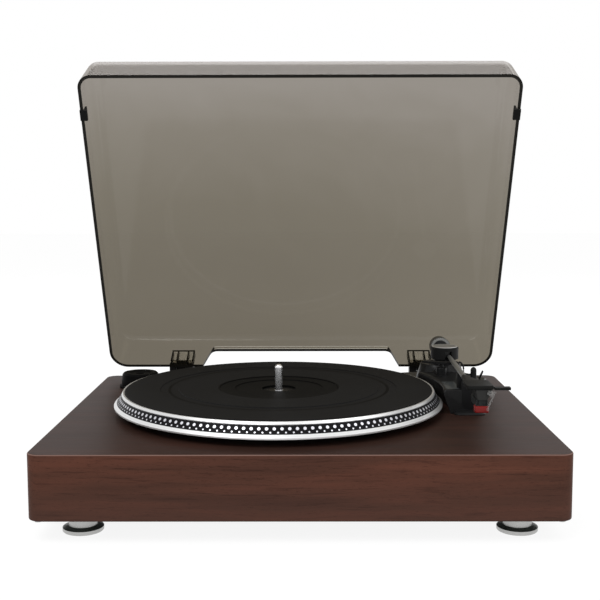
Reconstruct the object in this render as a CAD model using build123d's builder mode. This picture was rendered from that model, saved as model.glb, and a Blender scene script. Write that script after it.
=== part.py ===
from build123d import *
import math
import os

os.makedirs("parts", exist_ok=True)

# A belt driven record player with an open, smoked dust cover.
# The origin is on the spindle axis, where the underside of a record rests.
# +X is to the right and -Y is the front. All sizes are in millimetres.

# Plinth
PLINTH_W = 420.0
PLINTH_D = 338.0
PLINTH_H = 52.5
PLINTH_CORNER_R = 11.0
PLINTH_EDGE_R = 1.2
SIDE_WALL = 12.0
TOP_WALL = 9.0
SPINDLE_FROM_LEFT = 190.0
SPINDLE_FROM_FRONT = 169.0
RECORD_RISE = 20.0
PANEL_T = 3.0
PANEL_INSET = 4.0
PANEL_GAP = 0.3

# Feet
FOOT_H = 18.0
FOOT_NECK_R = 11.3
FOOT_RIM_R = 16.3
FOOT_RIM_H = 3.8
FOOT_PAD_R = 12.0
FOOT_PAD_T = 2.5
FOOT_PAD_PROUD = 1.0
FOOT_SIDE_INSET = 37.0
FOOT_FRONT_INSET = 33.0

# Platter, mat and spindle
PLATTER_R = 150.0
PLATTER_GAP = 6.7
PLATTER_TOP_T = 3.5
MAT_T = 3.0
MAT_R = 140.3
MAT_HOLE_R = 15.5
MAT_EDGE_GAP = 0.3
RING_LIP = 0.7
SPINDLE_PIN_R = 3.55
SPINDLE_PIN_H = 21.0
SPINDLE_TIP_R = 3.0
HUB_R = 9.0
HUB_FLANGE_R = 14.0
SHAFT_R = 5.0
BEARING_CLEARANCE = 0.05
BELT_RING_R = 101.0
BELT_RING_WALL = 4.0
BELT_RING_FOOT = 3.0
PLATTER_RIBS = 6

# Main bearing
BUSH_R = 8.0
HOUSING_R = 11.0
BEARING_FLANGE_R = 22.0
BEARING_FLANGE_T = 3.0
BEARING_DEPTH = 37.0
THRUST_BALL_R = 3.0

# Motor and belt
MOTOR_FROM_SPINDLE = 119.0
MOTOR_ANGLE = 140.0
MOTOR_R = 17.0
MOTOR_H = 22.0
MOTOR_PLATE_W = 62.0
MOTOR_PLATE_D = 32.0
MOTOR_PLATE_T = 2.0
MOTOR_SHAFT_R = 1.0
PULLEY_SLOW_R = 6.0
PULLEY_FAST_R = 8.1
PULLEY_FLANGE = 1.2
BELT_T = 0.8
BELT_W = 3.4
BELT_GAP = 0.3

# Dust cover
LID_W = 410.0
LID_D = 325.0
LID_H = 51.0
LID_WALL = 3.0
LID_FRONT_CORNER_R = 13.0
LID_REAR_CORNER_R = 19.0
LID_EDGE_R = 11.0
LID_DRAFT = 1.5
LID_REAR_INSET = 7.0
LID_OPEN_ANGLE = 64.8
BUMPER_H = 3.0
BUMPER_REST_GAP = 0.2
BUMPER_W = 6.6
BUMPER_L = 10.2
BUMPER_FROM_FRONT = 38.0
NOTCH_RIM_W = 212.0
NOTCH_INNER_W = 193.0
NOTCH_H = 34.0
NOTCH_R = 6.0

# Cover hinges
HINGE_X = 130.0
HINGE_W = 25.0
HINGE_PIN_BEHIND = 4.5
HINGE_PIN_ABOVE = 6.85
HINGE_BARREL_R = 4.2
HINGE_PIN_R = 1.5
HINGE_TONGUE_W = 9.6
HINGE_TONGUE_T = 4.0
HINGE_TONGUE_TOP = 30.5
HINGE_SIDE_GAP = 0.3
HINGE_FLANGE_T = 2.6
HINGE_FLANGE_H = 27.0
SOCKET_TOP = 32.5
SOCKET_BOTTOM = 12.5
SOCKET_DEPTH = 8.0
SOCKET_WALL = 1.6

# Record adapter and its peg
ADAPTER_X = -145.0
ADAPTER_Y = 106.0
ADAPTER_R = 19.0
ADAPTER_H = 13.0
ADAPTER_BORE_R = 3.65
PEG_BASE_R = 21.0
PEG_BASE_T = 2.0
PEG_H = 8.0

# Tonearm base
PIVOT_X = 164.2
PIVOT_Y = 83.0
ARM_BASE_H = 22.0
ARM_SLAB_H = 12.0
ARM_BASE_GAP = 5.5
ARM_BASE_FRONT = -23.0
ARM_BASE_WALL = 2.6
ARM_BASE_EDGE_R = 2.2
MOUND_H = 28.0
MOUND_R = 19.5
MOUND_FOOT_R = 24.5
MOUND_SIDE = -3.7
MOUND_BACK = 3.0
PEDESTAL_R = 11.0
PEDESTAL_H = 4.3
LIFT_TOWER_R = 5.0
LIFT_TOWER_H = 7.0

# Tonearm pivot
DRUM_R = 13.8
DRUM_H = 12.4
DRUM_WALL = 1.8
DRUM_GAP = 0.5
ARM_SHAFT_R = 3.0
ARM_BUSH_R = 6.0
ARM_BUSH_L = 48.0
PITCH_PIN_R = 1.5
GIMBAL_W = 11.0
GIMBAL_L = 13.0

# Tonearm tube, head and weight
ARM_Z = 17.8
TUBE_SIDE = 2.2
TUBE_REAR_R = 2.5
TUBE_FRONT_R = 3.3
TUBE_BORE_R = 1.6
TUBE_END_Y = -39.0
HEAD_X = PIVOT_X + 0.2
HEAD_FRONT_Y = -120.0
HEAD_REAR_W = 17.0
HEAD_LEFT = 9.2
HEAD_RIGHT = 11.3
HEAD_CORNER_R = 6.0
HEAD_TOP_Z = 23.5
HEAD_PLATE_T = 2.6
HEAD_BODY_FOOT_Z = 12.3
HEAD_BODY_TOP_LEFT = 0.2
HEAD_BODY_FOOT_LEFT = 2.6
HEAD_BODY_FOOT_RIGHT = 7.0
HEAD_BODY_L = 28.0
CARTRIDGE_SIDE = 1.9
CARTRIDGE_H = 6.0
CARTRIDGE_W = 9.6
STYLUS_SIDE = 1.4
STYLUS_W = 13.8
STYLUS_REAR_W = 9.0
STYLUS_H = 4.6
STYLUS_L = 16.0
FINGER_L = 14.9
FINGER_T = 2.2
GUARD_T = 1.4
GUARD_DROP = 15.0
GUARD_PIN_R = 1.0
GUARD_PIN_L = 6.0
NEEDLE_DROP = 0.8
STUB_Z = 19.0
STUB_R = 3.0
WEIGHT_R = 10.0
WEIGHT_L = 12.3
WEIGHT_Y = 115.7
DIAL_R = 10.3
DIAL_T = 2.6
DIAL_HUB_R = 7.4
SLIDE_CLEARANCE = 0.05

# Cueing lift, lever and arm rest
LIFT_R = 34.0
LIFT_BAR_W = 6.0
LIFT_BAR_T = 2.0
LIFT_POST_R = 2.0
LIFT_GAP = 0.3
LIFT_SWEEP = 58.0
LEVER_X = PIVOT_X + 23.4
LEVER_PIN_Y = 36.0
LEVER_PIN_Z = 0.0
LEVER_T = 2.2
LEVER_L = 28.0
LEVER_ANGLE = 26.4
LEVER_PIN_R = 1.5
REST_X0 = PIVOT_X - 3.7
REST_X1 = PIVOT_X + 17.0
REST_L = 14.0
CLIP_X = PIVOT_X + 11.8
CLIP_R = 2.3
CLIP_FINGER_L = 16.0
CLIP_FINGER_T = 1.2
CLIP_GAP = 0.35

# Rear socket panel
SOCKET_PANEL_X = -20.0
SOCKET_PANEL_W = 118.0
SOCKET_PANEL_H = 28.0
SOCKET_PANEL_T = 2.0
SOCKET_PANEL_Z = -46.0
PHONO_R = 4.15
PHONO_L = 9.0
PHONO_PITCH = 14.0
BOARD_W = 80.0
BOARD_D = 44.0
BOARD_T = 1.6
BOARD_RISE = 6.0
BOARD_HOLE_INSET = 5.0
BOARD_POST_R = 3.0

# Fasteners
SCREW_R = 1.5
SCREW_HEAD_R = 3.0
SCREW_HEAD_T = 1.8

# Levels and places that follow from the sizes above
TOP_Z = -RECORD_RISE
BASE_Z = TOP_Z - PLINTH_H
FLOOR_Z = BASE_Z - FOOT_H
INNER_TOP_Z = TOP_Z - TOP_WALL
PLINTH_X = PLINTH_W / 2 - SPINDLE_FROM_LEFT
PLINTH_Y = PLINTH_D / 2 - SPINDLE_FROM_FRONT
REAR_Y = PLINTH_Y + PLINTH_D / 2
RIM_FOOT_Z = TOP_Z + PLATTER_GAP
PLATTER_TOP_Z = -MAT_T
PLATTER_UNDER_Z = PLATTER_TOP_Z - PLATTER_TOP_T
MOTOR_X = MOTOR_FROM_SPINDLE * math.cos(math.radians(MOTOR_ANGLE))
MOTOR_Y = MOTOR_FROM_SPINDLE * math.sin(math.radians(MOTOR_ANGLE))
PANEL_W = PLINTH_W - 2 * PANEL_INSET
PANEL_D = PLINTH_D - 2 * PANEL_INSET
PANEL_TOP_Z = BASE_Z + PANEL_T
FOOT_PLACES = {
    "front_left": (PLINTH_X - PLINTH_W / 2 + FOOT_SIDE_INSET, PLINTH_Y - PLINTH_D / 2 + FOOT_FRONT_INSET),
    "front_right": (PLINTH_X + PLINTH_W / 2 - FOOT_SIDE_INSET, PLINTH_Y - PLINTH_D / 2 + FOOT_FRONT_INSET),
    "rear_left": (PLINTH_X - PLINTH_W / 2 + FOOT_SIDE_INSET, PLINTH_Y + PLINTH_D / 2 - FOOT_FRONT_INSET),
    "rear_right": (PLINTH_X + PLINTH_W / 2 - FOOT_SIDE_INSET, PLINTH_Y + PLINTH_D / 2 - FOOT_FRONT_INSET),
}
HINGE_PLACES = {"left": PLINTH_X - HINGE_X, "right": PLINTH_X + HINGE_X}

# The cover turns about the hinge axis. Its plane lies on the rim, with the
# origin at the middle of the rear edge, +Z into the cover and -Y to its front.
LID_RIM_Z = TOP_Z + BUMPER_H + BUMPER_REST_GAP
HINGE_Y = REAR_Y - LID_REAR_INSET + HINGE_PIN_BEHIND
HINGE_Z = LID_RIM_Z + HINGE_PIN_ABOVE
OPEN_SIN = math.sin(math.radians(LID_OPEN_ANGLE))
OPEN_COS = math.cos(math.radians(LID_OPEN_ANGLE))
LID_ORIGIN_Y = HINGE_Y - HINGE_PIN_BEHIND * OPEN_COS - HINGE_PIN_ABOVE * OPEN_SIN
LID_ORIGIN_Z = HINGE_Z + HINGE_PIN_BEHIND * OPEN_SIN - HINGE_PIN_ABOVE * OPEN_COS
LID_PLANE = Plane(
    origin=(PLINTH_X, LID_ORIGIN_Y, LID_ORIGIN_Z),
    x_dir=(1, 0, 0),
    z_dir=(0, OPEN_SIN, OPEN_COS),
)


# Plinth case: a wooden box with a thick top, open below for the bottom panel
PANEL_SCREW_INSET = (PANEL_INSET + SIDE_WALL) / 2
SCREW_SPAN_X = PLINTH_W - 2 * PANEL_SCREW_INSET
SCREW_SPAN_Y = PLINTH_D - 2 * PANEL_SCREW_INSET
SCREW_DEPTH = 12.0
SCREW_GRIP = 0.1
SOCKET_WINDOW_W = SOCKET_PANEL_W - 10
SOCKET_WINDOW_H = SOCKET_PANEL_H - 8
MOTOR_HOLE_R = PULLEY_FAST_R + PULLEY_FLANGE + 2
BEARING_SCREW_R = 17.0
MOTOR_SCREW_SPAN = MOTOR_PLATE_W - 10
TOP_SCREW_L = TOP_WALL - 3
HINGE_SCREW_Z = (TOP_Z - 9, TOP_Z - 20)
HINGE_SCREW_L = 9.0
with BuildPart() as plinth_case:
    with BuildSketch(Plane.XY.offset(BASE_Z)):
        with Locations((PLINTH_X, PLINTH_Y)):
            RectangleRounded(PLINTH_W, PLINTH_D, PLINTH_CORNER_R)
    extrude(amount=PLINTH_H)
    fillet(plinth_case.faces().sort_by(Axis.Z)[-1].edges(), PLINTH_EDGE_R)
    fillet(plinth_case.faces().sort_by(Axis.Z)[0].edges(), PLINTH_EDGE_R)
    with BuildSketch(Plane.XY.offset(BASE_Z)):
        with Locations((PLINTH_X, PLINTH_Y)):
            RectangleRounded(PLINTH_W - 2 * SIDE_WALL, PLINTH_D - 2 * SIDE_WALL, PLINTH_CORNER_R / 2)
    extrude(amount=PLINTH_H - TOP_WALL, mode=Mode.SUBTRACT)
    with BuildSketch(Plane.XY.offset(BASE_Z)):
        with Locations((PLINTH_X, PLINTH_Y)):
            RectangleRounded(PANEL_W + 2 * PANEL_GAP, PANEL_D + 2 * PANEL_GAP, PLINTH_CORNER_R - PANEL_INSET)
    extrude(amount=PANEL_T, mode=Mode.SUBTRACT)
    with Locations(Location((PLINTH_X, PLINTH_Y, PANEL_TOP_Z), (180, 0, 0))):
        with GridLocations(SCREW_SPAN_X, SCREW_SPAN_Y / 2, 2, 3):
            Hole(SCREW_R + SCREW_GRIP, SCREW_DEPTH)
    with Locations(Location((0, 0, INNER_TOP_Z), (180, 0, 0))):
        with PolarLocations(BEARING_SCREW_R, 3):
            Hole(SCREW_R + SCREW_GRIP, TOP_SCREW_L)
    with Locations(Location((MOTOR_X, MOTOR_Y, INNER_TOP_Z), (180, 0, 0))):
        with GridLocations(MOTOR_SCREW_SPAN, 1, 2, 1):
            Hole(SCREW_R + SCREW_GRIP, TOP_SCREW_L)
    with BuildSketch(Plane.XZ.offset(-REAR_Y)):
        with Locations(*[(x, z) for x in HINGE_PLACES.values() for z in HINGE_SCREW_Z]):
            Circle(SCREW_R + SCREW_GRIP)
    extrude(amount=HINGE_SCREW_L, mode=Mode.SUBTRACT)
    with Locations((0, 0, TOP_Z)):
        Hole(HOUSING_R + SCREW_GRIP, TOP_WALL)
    with Locations((MOTOR_X, MOTOR_Y, TOP_Z)):
        Hole(MOTOR_HOLE_R, TOP_WALL)
    with Locations((PIVOT_X, PIVOT_Y, TOP_Z)):
        Hole(ARM_BUSH_R + 2, TOP_WALL)
    with BuildSketch(Plane.XZ.offset(-REAR_Y)):
        with Locations((SOCKET_PANEL_X, SOCKET_PANEL_Z)):
            Rectangle(SOCKET_PANEL_W + 2 * PANEL_GAP, SOCKET_PANEL_H + 2 * PANEL_GAP)
    extrude(amount=SOCKET_PANEL_T, mode=Mode.SUBTRACT)
    with BuildSketch(Plane.XZ.offset(-REAR_Y)):
        with Locations((SOCKET_PANEL_X, SOCKET_PANEL_Z)):
            Rectangle(SOCKET_WINDOW_W, SOCKET_WINDOW_H)
    extrude(amount=SIDE_WALL, mode=Mode.SUBTRACT)
plinth_case.part.label = "plinth_case"
export_step(plinth_case.part, "parts/plinth_case.step")


# Bottom panel, with a grid of vent slots under the motor
VENT_L = 30.0
VENT_W = 3.0
VENT_PITCH = 8.0
VENT_COUNT = 6
FOOT_BOLT_R = 2.0
with BuildPart() as bottom_panel:
    with BuildSketch(Plane.XY.offset(BASE_Z)):
        with Locations((PLINTH_X, PLINTH_Y)):
            RectangleRounded(PANEL_W, PANEL_D, PLINTH_CORNER_R - PANEL_INSET)
            with GridLocations(SCREW_SPAN_X, SCREW_SPAN_Y / 2, 2, 3):
                Circle(SCREW_R + SCREW_GRIP, mode=Mode.SUBTRACT)
        with Locations(*FOOT_PLACES.values()):
            Circle(FOOT_BOLT_R + SCREW_GRIP, mode=Mode.SUBTRACT)
        with Locations((MOTOR_X, MOTOR_Y)):
            with GridLocations(VENT_PITCH, VENT_PITCH, VENT_COUNT, 1):
                SlotOverall(VENT_L, VENT_W, rotation=90, mode=Mode.SUBTRACT)
    extrude(amount=PANEL_T)
bottom_panel.part.label = "bottom_panel"
export_step(bottom_panel.part, "parts/bottom_panel.step")

with BuildPart() as bottom_screws:
    with Locations((PLINTH_X, PLINTH_Y, BASE_Z)):
        with GridLocations(SCREW_SPAN_X, SCREW_SPAN_Y / 2, 2, 3):
            Cylinder(SCREW_R, SCREW_DEPTH, align=(Align.CENTER, Align.CENTER, Align.MIN))
            Cylinder(SCREW_HEAD_R, SCREW_HEAD_T, align=(Align.CENTER, Align.CENTER, Align.MAX))
bottom_screws.part.label = "bottom_screws"
export_step(bottom_screws.part, "parts/bottom_screws.step")


# Feet: a turned neck on a wide rim, with a rubber pad let in below
FOOT_RIM_Z = FLOOR_Z + FOOT_PAD_PROUD
FOOT_BOLT_L = 10.0
for place, (foot_x, foot_y) in FOOT_PLACES.items():
    with BuildPart() as foot:
        with BuildSketch(Plane.XZ):
            with BuildLine():
                Polyline(
                    (0, BASE_Z),
                    (FOOT_NECK_R, BASE_Z),
                    (FOOT_NECK_R, FOOT_RIM_Z + FOOT_RIM_H + 1.2),
                    (FOOT_RIM_R - 1.2, FOOT_RIM_Z + FOOT_RIM_H),
                    (FOOT_RIM_R, FOOT_RIM_Z + FOOT_RIM_H - 0.6),
                    (FOOT_RIM_R, FOOT_RIM_Z + 0.6),
                    (FOOT_RIM_R - 0.6, FOOT_RIM_Z),
                    (FOOT_PAD_R, FOOT_RIM_Z),
                    (FOOT_PAD_R, FLOOR_Z + FOOT_PAD_T),
                    (0, FLOOR_Z + FOOT_PAD_T),
                    close=True,
                )
            make_face()
        revolve(axis=Axis.Z)
        with Locations((0, 0, BASE_Z)):
            Hole(FOOT_BOLT_R, FOOT_BOLT_L)
    foot.part = foot.part.moved(Location((foot_x, foot_y, 0)))
    foot.part.label = f"foot_{place}"
    export_step(foot.part, f"parts/foot_{place}.step")

with BuildPart() as foot_pads:
    with Locations(*[(x, y, FLOOR_Z) for x, y in FOOT_PLACES.values()]):
        Cylinder(FOOT_PAD_R, FOOT_PAD_T, align=(Align.CENTER, Align.CENTER, Align.MIN))
    fillet(foot_pads.edges().group_by(Axis.Z)[0], 0.5)
foot_pads.part.label = "foot_pads"
export_step(foot_pads.part, "parts/foot_pads.step")

with BuildPart() as foot_bolts:
    with Locations(*[(x, y, PANEL_TOP_Z) for x, y in FOOT_PLACES.values()]):
        Cylinder(FOOT_BOLT_R, PANEL_T + FOOT_BOLT_L, align=(Align.CENTER, Align.CENTER, Align.MAX))
        Cylinder(SCREW_HEAD_R + 1, SCREW_HEAD_T, align=(Align.CENTER, Align.CENTER, Align.MIN))
foot_bolts.part.label = "foot_bolts"
export_step(foot_bolts.part, "parts/foot_bolts.step")


# Main bearing: a flanged housing under the top, a bush and a thrust ball
HOUSING_TOP_Z = TOP_Z + 1
BUSH_BOTTOM_Z = HOUSING_TOP_Z - BEARING_DEPTH
HOUSING_FOOT_Z = BUSH_BOTTOM_Z - 2 * THRUST_BALL_R - 2
with BuildPart() as bearing_housing:
    with BuildSketch(Plane.XZ):
        with BuildLine():
            Polyline(
                (BUSH_R, HOUSING_TOP_Z),
                (HOUSING_R, HOUSING_TOP_Z),
                (HOUSING_R, INNER_TOP_Z),
                (BEARING_FLANGE_R, INNER_TOP_Z),
                (BEARING_FLANGE_R, INNER_TOP_Z - BEARING_FLANGE_T),
                (HOUSING_R + 1.5, INNER_TOP_Z - BEARING_FLANGE_T),
                (HOUSING_R, INNER_TOP_Z - BEARING_FLANGE_T - 4),
                (HOUSING_R, HOUSING_FOOT_Z),
                (0, HOUSING_FOOT_Z),
                (0, BUSH_BOTTOM_Z - 2 * THRUST_BALL_R),
                (THRUST_BALL_R + 0.5, BUSH_BOTTOM_Z - 2 * THRUST_BALL_R),
                (THRUST_BALL_R + 0.5, BUSH_BOTTOM_Z),
                (BUSH_R, BUSH_BOTTOM_Z),
                close=True,
            )
        make_face()
    revolve(axis=Axis.Z)
    with Locations((0, 0, INNER_TOP_Z)):
        with PolarLocations(BEARING_SCREW_R, 3):
            Hole(SCREW_R + SCREW_GRIP, BEARING_FLANGE_T)
bearing_housing.part.label = "bearing_housing"
export_step(bearing_housing.part, "parts/bearing_housing.step")

with BuildPart() as bearing_bush:
    with BuildSketch(Plane.XY.offset(BUSH_BOTTOM_Z)):
        Circle(BUSH_R)
        Circle(SHAFT_R + BEARING_CLEARANCE, mode=Mode.SUBTRACT)
    extrude(amount=BEARING_DEPTH)
    chamfer(bearing_bush.edges().group_by(Axis.Z)[-1].sort_by(SortBy.RADIUS)[0], 0.5)
bearing_bush.part.label = "bearing_bush"
export_step(bearing_bush.part, "parts/bearing_bush.step")

with BuildPart() as thrust_ball:
    with Locations((0, 0, BUSH_BOTTOM_Z - THRUST_BALL_R)):
        Sphere(THRUST_BALL_R)
thrust_ball.part.label = "thrust_ball"
export_step(thrust_ball.part, "parts/thrust_ball.step")


# Spindle: record pin, hub that carries the platter, and bearing shaft
HUB_FOOT_Z = PLATTER_UNDER_Z - 5.5
HUB_FLANGE_Z = HUB_FOOT_Z - 2.0
with BuildPart() as spindle:
    with BuildSketch(Plane.XZ):
        with BuildLine():
            Polyline(
                (0, BUSH_BOTTOM_Z + BEARING_CLEARANCE),
                (SHAFT_R - 0.8, BUSH_BOTTOM_Z + BEARING_CLEARANCE),
                (SHAFT_R, BUSH_BOTTOM_Z + BEARING_CLEARANCE + 0.8),
                (SHAFT_R, HUB_FLANGE_Z),
                (HUB_FLANGE_R, HUB_FLANGE_Z),
                (HUB_FLANGE_R, HUB_FOOT_Z),
                (HUB_R, HUB_FOOT_Z),
                (HUB_R, PLATTER_TOP_Z),
                (SPINDLE_PIN_R, PLATTER_TOP_Z),
                (SPINDLE_PIN_R, SPINDLE_PIN_H),
                (0, SPINDLE_PIN_H),
                close=True,
            )
        make_face()
    revolve(axis=Axis.Z)
    fillet(spindle.edges().group_by(Axis.Z)[-1], SPINDLE_TIP_R)
spindle.part.label = "spindle"
export_step(spindle.part, "parts/spindle.step")


# Platter: cast disc with a slanted strobe rim, ribs and a belt ring below
RIM_TOP_R = MAT_R + MAT_EDGE_GAP
UPPER_RING_R = RIM_TOP_R + 1.4
BAND_TOP_R = RIM_TOP_R + 2.2
BAND_FOOT_R = PLATTER_R - 2.6
BAND_TOP_Z = PLATTER_TOP_Z
BAND_FOOT_Z = RIM_FOOT_Z + 3.4
RIM_INNER_R = PLATTER_R - 4.0
BELT_RING_FOOT_Z = TOP_Z + BELT_RING_FOOT
BOSS_R = 22.0
RIB_T = 3.0
RIB_H = 5.0
with BuildPart() as platter:
    with BuildSketch(Plane.XZ):
        with BuildLine():
            Polyline(
                (HUB_R, HUB_FOOT_Z),
                (HUB_R, PLATTER_TOP_Z),
                (RIM_TOP_R, PLATTER_TOP_Z),
                (RIM_TOP_R, -RING_LIP),
                (UPPER_RING_R, -RING_LIP),
                (BAND_TOP_R + 0.3, BAND_TOP_Z + 0.3),
                (BAND_TOP_R, BAND_TOP_Z - 0.2),
                (BAND_FOOT_R, BAND_FOOT_Z + 0.2),
                (BAND_FOOT_R + 0.5, BAND_FOOT_Z - 0.1),
                (PLATTER_R, RIM_FOOT_Z + 1.2),
                (PLATTER_R, RIM_FOOT_Z),
                (RIM_INNER_R, RIM_FOOT_Z),
                (RIM_TOP_R - 2, PLATTER_UNDER_Z),
                (BELT_RING_R, PLATTER_UNDER_Z),
                (BELT_RING_R, BELT_RING_FOOT_Z),
                (BELT_RING_R - BELT_RING_WALL, BELT_RING_FOOT_Z),
                (BELT_RING_R - BELT_RING_WALL, PLATTER_UNDER_Z),
                (BOSS_R, PLATTER_UNDER_Z),
                (BOSS_R - 2, HUB_FOOT_Z),
                close=True,
            )
        make_face()
    revolve(axis=Axis.Z)
    with BuildSketch(Plane.XY.offset(PLATTER_UNDER_Z)):
        with PolarLocations((BOSS_R + BELT_RING_R - BELT_RING_WALL) / 2, PLATTER_RIBS):
            Rectangle(BELT_RING_R - BELT_RING_WALL - BOSS_R + 4, RIB_T)
    extrude(amount=-RIB_H)
platter.part.label = "platter"
export_step(platter.part, "parts/platter.step")


# Mat: raised playing area with a worn band and a stepped label recess
MAT_GROOVE_INNER_R = 92.0
MAT_GROOVE_OUTER_R = 108.0
MAT_GROOVE_D = 0.6
LABEL_OUTER_R = 54.0
LABEL_INNER_R = 40.0
LABEL_STEP = 0.7
with BuildPart() as platter_mat:
    with BuildSketch(Plane.XZ):
        with BuildLine():
            Polyline(
                (MAT_HOLE_R, PLATTER_TOP_Z),
                (MAT_R, PLATTER_TOP_Z),
                (MAT_R, -0.6),
                (MAT_R - 0.6, 0),
                (MAT_GROOVE_OUTER_R + MAT_GROOVE_D, 0),
                (MAT_GROOVE_OUTER_R, -MAT_GROOVE_D),
                (MAT_GROOVE_INNER_R, -MAT_GROOVE_D),
                (MAT_GROOVE_INNER_R - MAT_GROOVE_D, 0),
                (LABEL_OUTER_R + LABEL_STEP, 0),
                (LABEL_OUTER_R, -LABEL_STEP),
                (LABEL_INNER_R + LABEL_STEP, -LABEL_STEP),
                (LABEL_INNER_R, -2 * LABEL_STEP),
                (MAT_HOLE_R, -2 * LABEL_STEP),
                close=True,
            )
        make_face()
    revolve(axis=Axis.Z)
platter_mat.part.label = "platter_mat"
export_step(platter_mat.part, "parts/platter_mat.step")


# Motor: plate under the top, round can, and a shaft with a two step pulley
MOTOR_PLATE_Z = INNER_TOP_Z - MOTOR_PLATE_T
MOTOR_BOSS_R = 5.0
with BuildPart() as motor_plate:
    with BuildSketch(Plane.XY.offset(MOTOR_PLATE_Z)):
        with Locations((MOTOR_X, MOTOR_Y)):
            SlotOverall(MOTOR_PLATE_W, MOTOR_PLATE_D)
            Circle(MOTOR_BOSS_R + SCREW_GRIP, mode=Mode.SUBTRACT)
            with GridLocations(MOTOR_SCREW_SPAN, 1, 2, 1):
                Circle(SCREW_R + SCREW_GRIP, mode=Mode.SUBTRACT)
    extrude(amount=MOTOR_PLATE_T)
motor_plate.part.label = "motor_plate"
export_step(motor_plate.part, "parts/motor_plate.step")

with BuildPart() as motor_can:
    with BuildSketch(Plane.XY.offset(MOTOR_PLATE_Z)):
        with Locations((MOTOR_X, MOTOR_Y)):
            Circle(MOTOR_R)
    extrude(amount=-MOTOR_H)
    fillet(motor_can.edges().group_by(Axis.Z)[0], 2)
    with BuildSketch(Plane.XY.offset(MOTOR_PLATE_Z)):
        with Locations((MOTOR_X, MOTOR_Y)):
            Circle(MOTOR_BOSS_R)
    extrude(amount=MOTOR_PLATE_T)
    with Locations((MOTOR_X, MOTOR_Y, MOTOR_PLATE_Z + MOTOR_PLATE_T)):
        Hole(MOTOR_SHAFT_R + BEARING_CLEARANCE, MOTOR_PLATE_T + MOTOR_H - 3)
motor_can.part.label = "motor_can"
export_step(motor_can.part, "parts/motor_can.step")

PULLEY_FOOT_Z = TOP_Z + 1.5
PULLEY_TOP_Z = PLATTER_UNDER_Z - 1.2
PULLEY_MID_Z = (PULLEY_FOOT_Z + PULLEY_TOP_Z) / 2
PULLEY_LIP = 0.8
with BuildPart() as motor_pulley:
    with BuildSketch(Plane.XZ):
        with BuildLine():
            Polyline(
                (0, MOTOR_PLATE_Z - MOTOR_H + 4),
                (MOTOR_SHAFT_R, MOTOR_PLATE_Z - MOTOR_H + 4),
                (MOTOR_SHAFT_R, PULLEY_FOOT_Z),
                (PULLEY_FAST_R + PULLEY_FLANGE, PULLEY_FOOT_Z),
                (PULLEY_FAST_R + PULLEY_FLANGE, PULLEY_FOOT_Z + PULLEY_LIP),
                (PULLEY_FAST_R, PULLEY_FOOT_Z + PULLEY_LIP),
                (PULLEY_FAST_R, PULLEY_MID_Z - PULLEY_LIP / 2),
                (PULLEY_FAST_R + PULLEY_FLANGE, PULLEY_MID_Z - PULLEY_LIP / 2),
                (PULLEY_FAST_R + PULLEY_FLANGE, PULLEY_MID_Z + PULLEY_LIP / 2),
                (PULLEY_SLOW_R, PULLEY_MID_Z + PULLEY_LIP / 2),
                (PULLEY_SLOW_R, PULLEY_TOP_Z - PULLEY_LIP),
                (PULLEY_SLOW_R + PULLEY_FLANGE, PULLEY_TOP_Z - PULLEY_LIP),
                (PULLEY_SLOW_R + PULLEY_FLANGE, PULLEY_TOP_Z),
                (0, PULLEY_TOP_Z),
                close=True,
            )
        make_face()
    revolve(axis=Axis.Z)
motor_pulley.part = motor_pulley.part.moved(Location((MOTOR_X, MOTOR_Y, 0)))
motor_pulley.part.label = "motor_pulley"
export_step(motor_pulley.part, "parts/motor_pulley.step")

# Drive belt: a flat loop round the belt ring and the slow step of the pulley
BELT_Z = (PULLEY_MID_Z + PULLEY_TOP_Z - PULLEY_LIP / 2) / 2 - BELT_W / 2
with BuildSketch(Plane.XY.offset(BELT_Z)) as belt_inside:
    Circle(BELT_RING_R + BELT_GAP)
    with Locations((MOTOR_X, MOTOR_Y)):
        Circle(PULLEY_SLOW_R + BELT_GAP)
    make_hull()
with BuildPart() as drive_belt:
    with BuildSketch(Plane.XY.offset(BELT_Z)):
        Circle(BELT_RING_R + BELT_GAP + BELT_T)
        with Locations((MOTOR_X, MOTOR_Y)):
            Circle(PULLEY_SLOW_R + BELT_GAP + BELT_T)
        make_hull()
        add(belt_inside.sketch, mode=Mode.SUBTRACT)
    extrude(amount=BELT_W)
drive_belt.part.label = "drive_belt"
export_step(drive_belt.part, "parts/drive_belt.step")

# Screws that hold the bearing and the motor plate under the top
with BuildPart() as top_screws:
    with Locations((0, 0, INNER_TOP_Z - BEARING_FLANGE_T)):
        with PolarLocations(BEARING_SCREW_R, 3):
            Cylinder(SCREW_R, BEARING_FLANGE_T + TOP_SCREW_L, align=(Align.CENTER, Align.CENTER, Align.MIN))
            Cylinder(SCREW_HEAD_R, SCREW_HEAD_T, align=(Align.CENTER, Align.CENTER, Align.MAX))
    with Locations((MOTOR_X, MOTOR_Y, MOTOR_PLATE_Z)):
        with GridLocations(MOTOR_SCREW_SPAN, 1, 2, 1):
            Cylinder(SCREW_R, MOTOR_PLATE_T + TOP_SCREW_L, align=(Align.CENTER, Align.CENTER, Align.MIN))
            Cylinder(SCREW_HEAD_R, SCREW_HEAD_T, align=(Align.CENTER, Align.CENTER, Align.MAX))
top_screws.part.label = "top_screws"
export_step(top_screws.part, "parts/top_screws.step")


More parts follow.
